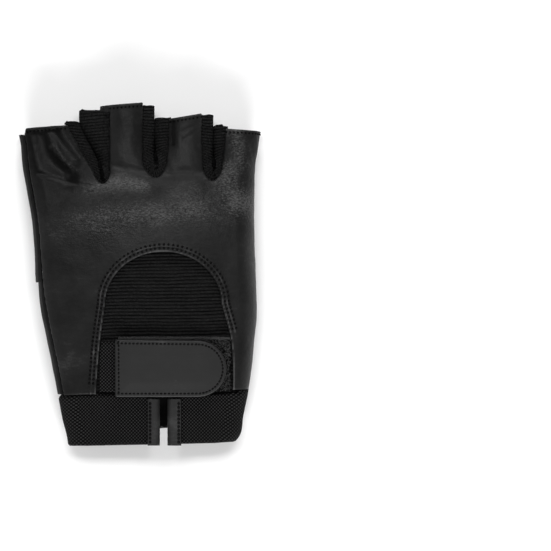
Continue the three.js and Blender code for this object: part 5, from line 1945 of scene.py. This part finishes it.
@dataclass
class Cuff:
    """The woven elastic cuff and the leather bindings of its slit.

    Attributes:
        elastic: The elastic's thickness.
        binding: The bindings' thickness.
        tuck: How far the cuff reaches under the leather.
        edges: For each side of the slit, its edge, the binding's width and the way that it reaches.
    """

    elastic: float = 1.8
    binding: float = 0.9
    binding_gap: float = 0.5
    cuff_gap: float = 0.55
    tuck: float = 4.5
    tall: float = 27.0
    stitch_row: float = 1.2
    edges: tuple[tuple[float, float, int], ...] = ((10.06, 5.9, -1), (13.6, 6.6, 1))
    ripple: Noise = Noise(43)

    def sunk(self, y: Array, seam_y: Array) -> Array:
        """Return how deep the cuff lies where it passes under the leather at a seam."""
        return (LEATHER + self.cuff_gap) * smoothstep(y, seam_y - 1.5, seam_y + 0.3)

    def slit(self) -> tuple[float, float]:
        """Return the elastic's two ends at the slit."""
        inset = self.binding + 2 * self.binding_gap
        (left, _w, a), (right, _w, b) = self.edges
        return left + a * inset, right + b * inset

    def x_at(self, u: Array, y: Array) -> Array:
        """Return where the cuff lies at u: 1 to 2 right of the slit, 7 to 8 back to it."""
        left, right = self.slit()
        r = GLOVE.side_radius
        turn = np.where(u > 6, u - 6, u)
        first = right + (GLOVE.right(y) - r - right) * (u - 1)
        last = GLOVE.left(y) + r + (left - GLOVE.left(y) - r) * (u - 7)
        between = GLOVE.skin(turn, y)[..., 0]
        return np.where(u < 2, first, np.where(u > 7, last, between))

    def top(self, turn: Array, x: Array) -> Array:
        """Return how far up the cuff reaches."""
        tucked = line_at(CUFF_BACK, x) + self.tuck
        left = float(ARCH.leg_left(-57.0)) - 3.0
        right = float(ARCH.leg_right(-57.0))
        past = smoothstep(x, left - 6, left - 1) * (1 - smoothstep(x, right + 0.3, right + 1.8))
        return np.where(turn > 3, line_at(CUFF_PALM, x) + self.tuck, tucked + (-57.0 - tucked) * past)

    def bottom(self, turn: Array, x: Array) -> Array:
        """Return where the cuff ends."""
        low, high = float(GLOVE.left(-80.0)), float(GLOVE.right(-80.0))
        share = np.clip((x - low) / (high - low), 0, 1)
        back = -82.3 + 1.5 * share
        dip = np.sin(math.pi * np.clip(share * 0.85, 0, 1))
        palm = -82.0 + 5.5 * share + 5.0 * dip
        mix = smoothstep(turn, 3, 4) * (1 - smoothstep(turn, 5, 6))
        return np.where(turn > 3, back + (palm - back) * mix, back)

    def surface(self, u: Array, v: Array) -> Array:
        """Return points of the cuff over u round the wrist and v from 0 at its end to 100 at its top."""
        turn = np.where(u > 6, u - 6, u)
        x = self.x_at(u, np.full(np.shape(u), -70.0))
        low = self.bottom(turn, x)
        y = low + (self.top(turn, x) - low) * v / 100
        on_back = (u < 2) | (u > 7)
        p = np.where(on_back, GLOVE.place(self.x_at(u, y), y), turn)
        seam_y = np.where(turn > 3, line_at(CUFF_PALM, x), line_at(CUFF_BACK, x))
        return GLOVE.skin(p, y) - normals(GLOVE.skin, p, y) * self.sunk(y, seam_y)[..., None]

    def build(self) -> None:
        """Build the elastic and both bindings."""
        zones = [(1, 2, 34), (2, 4, 34), (4, 5, 74), (5, 7, 34), (7, 8, 40)]
        us = np.concatenate([np.linspace(a, b, n, endpoint=b == 8) for a, b, n in zones])
        line = self.surface(us, np.full(us.shape, 30.0))
        run = np.concatenate([[0], np.cumsum(np.linalg.norm(np.diff(line, axis=0), axis=1))])

        def relief(u: Array, v: Array) -> Array:
            """Return the rounded edges, the ridge beside them and the slight waves."""
            along, up = np.interp(u, us, run), self.tall / 100
            edge = np.minimum(v, 100 - v) * up
            waves = 0.12 * self.ripple(along, v * up, 7.0)
            return seam(edge, along, (), HEM_STITCH, 0.6, 0.0) + 0.14 * hump(edge - 1.2, 0.5) + waves

        def chart(u: Array, v: Array) -> Array:
            """Return places on the cuff's map, square with the back and the palm."""
            place = self.surface(u, v)
            start, end = np.interp(2, us, run), np.interp(7, us, run)
            near_x = self.surface(np.full(u.shape, 2.0), v)[..., 0]
            far_x = self.surface(np.full(u.shape, 7.0), v)[..., 0] + end
            share = (np.interp(u, us, run) - start) / (end - start)
            on_side = near_x + (far_x - near_x) * share
            x = np.where(u < 2, place[..., 0], np.where(u > 7, place[..., 0] + end, on_side))
            return np.stack([x, place[..., 1]], axis=-1)

        patch = Patch(
            name="cuff_elastic",
            surface=self.surface,
            us=us,
            vs=np.linspace(0, 100, 34),
            thickness=self.elastic,
            relief=relief,
            chart=chart,
        )
        made = patch.build()
        adopt(made, TWILL, ["cuff_band"])
        for name, (edge, width, towards) in zip(("vent_binding_left", "vent_binding_right"), self.edges):
            self.bind(name, edge, width, towards)

    def bind(self, node: str, edge: float, width: float, towards: int) -> None:
        """Build a leather strip folded round one edge of the slit, and sew it.

        Args:
            node: The node that it replaces.
            edge: Where its fold lies.
            width: How far it reaches over the elastic.
            towards: The direction in x in which it reaches.
        """
        bend = self.elastic / 2 + self.binding_gap + self.binding
        bend_x, far_x = edge + towards * bend, edge + towards * width

        def fold(u: Array, y: Array) -> Array:
            """Return points of the folded strip, u from 0 on one side of the elastic to 300 on the other."""
            s = 3 - u / 100 if towards > 0 else u / 100
            turn = np.clip(s - 1, 0, 1) * math.pi
            straight = np.where(s < 1, far_x + (bend_x - far_x) * s, bend_x + (far_x - bend_x) * (s - 2))
            x = np.where((s < 1) | (s > 2), straight, bend_x - towards * bend * np.sin(turn))
            place = GLOVE.place(x, y)
            lift = bend * np.cos(turn) - self.elastic / 2 - self.sunk(y, line_at(CUFF_BACK, x))
            return GLOVE.skin(place, y) + normals(GLOVE.skin, place, y) * lift[..., None]

        def relief(u: Array, y: Array) -> Array:
            """Return the stitched edge and small waves."""
            s = 3 - u / 100 if towards > 0 else u / 100
            away = np.abs(np.where(s < 1.5, s, 3 - s)) * abs(far_x - bend_x)
            waves = 0.05 * self.ripple(u * 0.1, y, 3.0)
            return seam(away, y, (self.stitch_row,), BINDING_STITCH, 0.5, 0.12) + waves

        patch = Patch(
            name=f"{node}_leather",
            surface=fold,
            us=runs((0, 100, 10), (100, 200, 14), (200, 300, 10)),
            vs=steps(-82.0, -59.5, 0.5),
            thickness=self.binding,
            relief=relief,
            chart=lambda u, y: np.stack([u * 0.05, y], axis=-1),
        )
        adopt(patch.build(), STRAP_LEATHER, [node])
        sewn_x = far_x - towards * self.stitch_row
        line = open_line([(sewn_x, -81.2), (sewn_x, -60)])
        over = raised(GLOVE.over, self.binding + self.binding_gap - 0.1)
        sew(f"{node}_stitches", over, [Row(line, 0, BINDING_STITCH)])


@dataclass
class Strap:
    """The wrist strap: woven base, fuzzy loop patch and the smooth tab over both.

    Attributes:
        tape: Thickness of the base and of the loop patch.
        tab: The tab's thickness.
        level: Height of the tapes' upper side above the leather's surface.
        base_box: The base's left, right, bottom and top, like the other boxes.
        spots: How many loops of yarn are strewn over the patch.
        hem_spots: How many more along its upper edge.
    """

    tape: float = 1.5
    tab: float = 2.0
    level: float = tape - LEATHER
    base_box: Box = (-19.0, -10.3, -56.4, -32.4)
    loop_box: Box = (-9.9, 43.9, -56.2, -29.9)
    tab_box: Box = (-11.3, 41.6, -58.5, -31.5)
    stitch_row: float = 1.8
    spots: int = 4300
    hem_spots: int = 1300
    soft: Noise = Noise(47)

    def box_outline(self, box: Box) -> Outline:
        """Return a layer's outline, kept clear of the arch's legs."""
        left, right, bottom, top = box
        ys = np.linspace(bottom, top, 12)
        lefts = [(max(left, float(ARCH.leg_left(y)) + GAP), y) for y in ys]
        rights = [(min(right, float(ARCH.leg_right(y)) - GAP), y) for y in ys]
        return Outline([*rights, *lefts[::-1]])

    def layer(self, name: str, node: str, box: Box, slot: SlotName, finish: Finish) -> Outline:
        """Build a flat tape layer.

        Args:
            name: The object's name.
            node: The node that it replaces.
            box: Its left, right, bottom and top.
            slot: Its material slot; not used.
            finish: Its finish.

        Returns:
            The layer's outline.
        """
        outline = self.box_outline(box)

        def relief(x: Array, y: Array) -> Array:
            """Return the tape's level, its rounded edge and slight waves."""
            away = outline.nearest(x, y)[0]
            return self.level + seam(away, away, (), TAB_STITCH, 0.45, 0.0) + 0.08 * self.soft(x, y, 6.0)

        patch = Patch(
            name=name,
            surface=GLOVE.over,
            us=steps(box[0] - 0.8, box[1] + 0.8, 0.5),
            vs=steps(box[2] - 0.8, box[3] + 0.8, 0.5),
            thickness=self.tape,
            relief=relief,
            outline=outline,
        )
        made = patch.build()
        adopt(made, finish, [node])
        return outline

    def tab_outline(self) -> Outline:
        """Return the tab's outline: square at its sewn end and fully round at the other."""
        left, right, bottom, top = self.tab_box
        radius = (top - bottom) / 2
        middle = (top + bottom) / 2
        turns = np.linspace(-math.pi / 2, math.pi / 2, 40)
        end = [(right - radius + radius * math.cos(a), middle + radius * math.sin(a)) for a in turns]
        soft, slant = 0.7, 0.5
        corner = [(left + soft, top + slant), (left, top + slant - soft), (left, bottom + soft)]
        return Outline([(left + soft, bottom), *end, *corner])

    def build_tab(self) -> None:
        """Build the tab with its row of stitches all round."""
        outline = self.tab_outline()
        level = self.level + GAP + self.tab

        def relief(x: Array, y: Array) -> Array:
            """Return the tab's level, its stitched edge and its soft middle."""
            away, _x, _y, along = outline.nearest(x, y)
            swell = 0.25 * smoothstep(away, 2.0, 8.0) + 0.06 * self.soft(x, y, 9.0)
            return level + seam(away, along, (self.stitch_row,), TAB_STITCH, 0.8, 0.1) + swell

        left, right, bottom, top = self.tab_box
        patch = Patch(
            name="strap_tab_leather",
            surface=GLOVE.over,
            us=steps(left - 0.5, right + 0.5, 0.42),
            vs=steps(bottom - 0.5, top + 0.5, 0.42),
            thickness=self.tab,
            relief=relief,
            outline=outline,
        )
        adopt(patch.build(), STRAP_LEATHER, ["strap_tab"])
        rows = [Row(outline, self.stitch_row, TAB_STITCH)]
        sew("strap_tab_stitches", raised(GLOVE.over, relief), rows)

    def loops(self, outline: Outline) -> None:
        """Cover what shows of the loop patch with small crossing loops of yarn.

        Args:
            outline: The patch's outline.
        """
        draw = np.random.default_rng(5)
        left, right, bottom, top = self.loop_box
        spots = draw.uniform((left, bottom), (right, top), (self.spots, 2))
        hem = draw.uniform((left, top - 1.1), (right, top - 0.4), (self.hem_spots, 2))
        x, y = np.concatenate([spots, hem]).T
        covered = self.tab_outline()
        shows = outline.inside(x, y) & (~covered.inside(x, y) | (covered.nearest(x, y)[0] < 0.8))
        shows &= outline.nearest(x, y)[0] > 0.35
        x, y = x[shows], y[shows]
        centre = raised(GLOVE.over, self.level)(x, y)
        up = normals(GLOVE.over, x, y)
        up += draw.normal(0, 0.35, up.shape)
        up /= np.linalg.norm(up, axis=1, keepdims=True)
        spin = draw.uniform(0, 2 * math.pi, len(x))
        way = np.stack([np.cos(spin), np.sin(spin), np.zeros(len(x))], axis=1)
        side = np.cross(up, way)
        side /= np.linalg.norm(side, axis=1, keepdims=True)
        way = np.cross(side, up)
        size = draw.uniform(0.32, 0.6, len(x))
        frames = np.zeros((len(x), 4, 4))
        for column, axis in enumerate((way, side, up)):
            frames[:, :3, column] = axis * size[:, None]
        frames[:, :3, 3] = centre
        frames[:, 3, 3] = 1
        template = bmesh.new()
        ring = bmesh.ops.create_circle(template, segments=4, radius=0.2, cap_ends=False)["verts"]
        bmesh.ops.translate(template, verts=ring, vec=(1, 0, 0))
        turn = {"cent": (0, 0, 0), "axis": (0, -1, 0), "angle": math.pi}
        bmesh.ops.spin(template, geom=template.edges[:], steps=5, use_merge=False, **turn)
        bmesh.ops.holes_fill(template, edges=[edge for edge in template.edges if edge.is_boundary])
        bmesh.ops.recalc_face_normals(template, faces=template.faces)
        adopt(copies("loop_yarns", template, frames), YARN)

    def build(self) -> None:
        """Build the strap from its base up."""
        self.layer("strap_elastic", "strap_base", self.base_box, SlotName.WOVEN, TWILL)
        outline = self.layer("loop_tape_ground", "loop_patch", self.loop_box, SlotName.LOOP, FUZZ)
        self.loops(outline)
        self.build_tab()


@dataclass
class Studio:
    """The floor, the lights and the camera, in metres."""

    frame_width: float = 0.26448
    axis_x: float = 0.0653
    axis_y: float = -0.0007
    distance: float = 5.0
    sensor: float = 36.0

    def camera(self) -> None:
        """Look straight down, with the photograph's framing."""
        data = bpy.data.cameras.new("camera")
        data.sensor_width = self.sensor
        data.lens = self.sensor * self.distance / self.frame_width
        data.clip_end = 20
        made = linked("camera", data)
        made.location = (self.axis_x, self.axis_y, self.distance)
        bpy.context.scene.camera = made

    def floor(self) -> None:
        """Lay a plain pale floor."""
        bm = bmesh.new()
        bmesh.ops.create_grid(bm, x_segments=1, y_segments=1, size=4)
        bmesh.ops.translate(bm, verts=bm.verts, vec=(0, 0, -0.0002))
        mesh = bpy.data.meshes.new("floor")
        bm.to_mesh(mesh)
        bm.free()
        made = linked("floor", mesh)
        white = bpy.data.materials.new("floor_white")
        white.use_nodes = True
        shader = white.node_tree.nodes["Principled BSDF"]
        shader.inputs["Base Color"].default_value = (0.96, 0.96, 0.96, 1)
        shader.inputs["Roughness"].default_value = 0.9
        shader.inputs["Specular IOR Level"].default_value = 0.0
        made.data.materials.append(white)

    def light(self, name: str, place: tuple[float, float, float], size: Place, watts: float) -> None:
        """Add a soft rectangular light aimed at the glove.

        Args:
            name: Its name.
            place: Where it stands, in metres.
            size: Its width and height.
            watts: Its power.
        """
        data = bpy.data.lights.new(name, "AREA")
        data.shape = "RECTANGLE"
        data.size, data.size_y = size
        data.energy = watts
        made = linked(name, data)
        made.location = place
        aim = Vector((0.0, 0.0, 0.01)) - Vector(place)
        made.rotation_euler = aim.to_track_quat("-Z", "Y").to_euler()

    def build(self) -> None:
        """Set up the studio."""
        scene = bpy.context.scene
        scene.view_settings.view_transform = "Standard"
        world = bpy.data.worlds.new("world")
        world.use_nodes = True
        world.node_tree.nodes["Background"].inputs["Color"].default_value = (1, 1, 1, 1)
        world.node_tree.nodes["Background"].inputs["Strength"].default_value = 0.12
        scene.world = world
        self.floor()
        self.light("window", (0.0, 0.56, 1.5), (1.15, 0.36), 13)
        self.light("left_fill", (-1.7, 0.3, 0.7), (0.7, 1.6), 3.5)
        self.light("right_fill", (1.8, 0.2, 0.7), (0.7, 1.6), 0.7)
        self.light("far_fill", (0.1, 2.0, 0.85), (2.2, 0.6), 36)
        self.light("near_fill", (0.1, -2.0, 0.8), (2.2, 0.6), 70)


class Glove:
    """The whole glove."""

    def build(self) -> None:
        """Build every piece in order."""
        for part in (Back(), Strips(), ArchPanel(), Gussets(), PALM, Thumb(), Cuff(), Strap()):
            log.info("building %s", type(part).__name__)
            part.build()


def main() -> None:
    """Set up the studio and build the glove."""
    logging.basicConfig(level=logging.INFO, format="%(message)s")
    studio = Studio()
    studio.camera()
    studio.build()
    Glove().build()


if __name__ == "__main__":
    main()
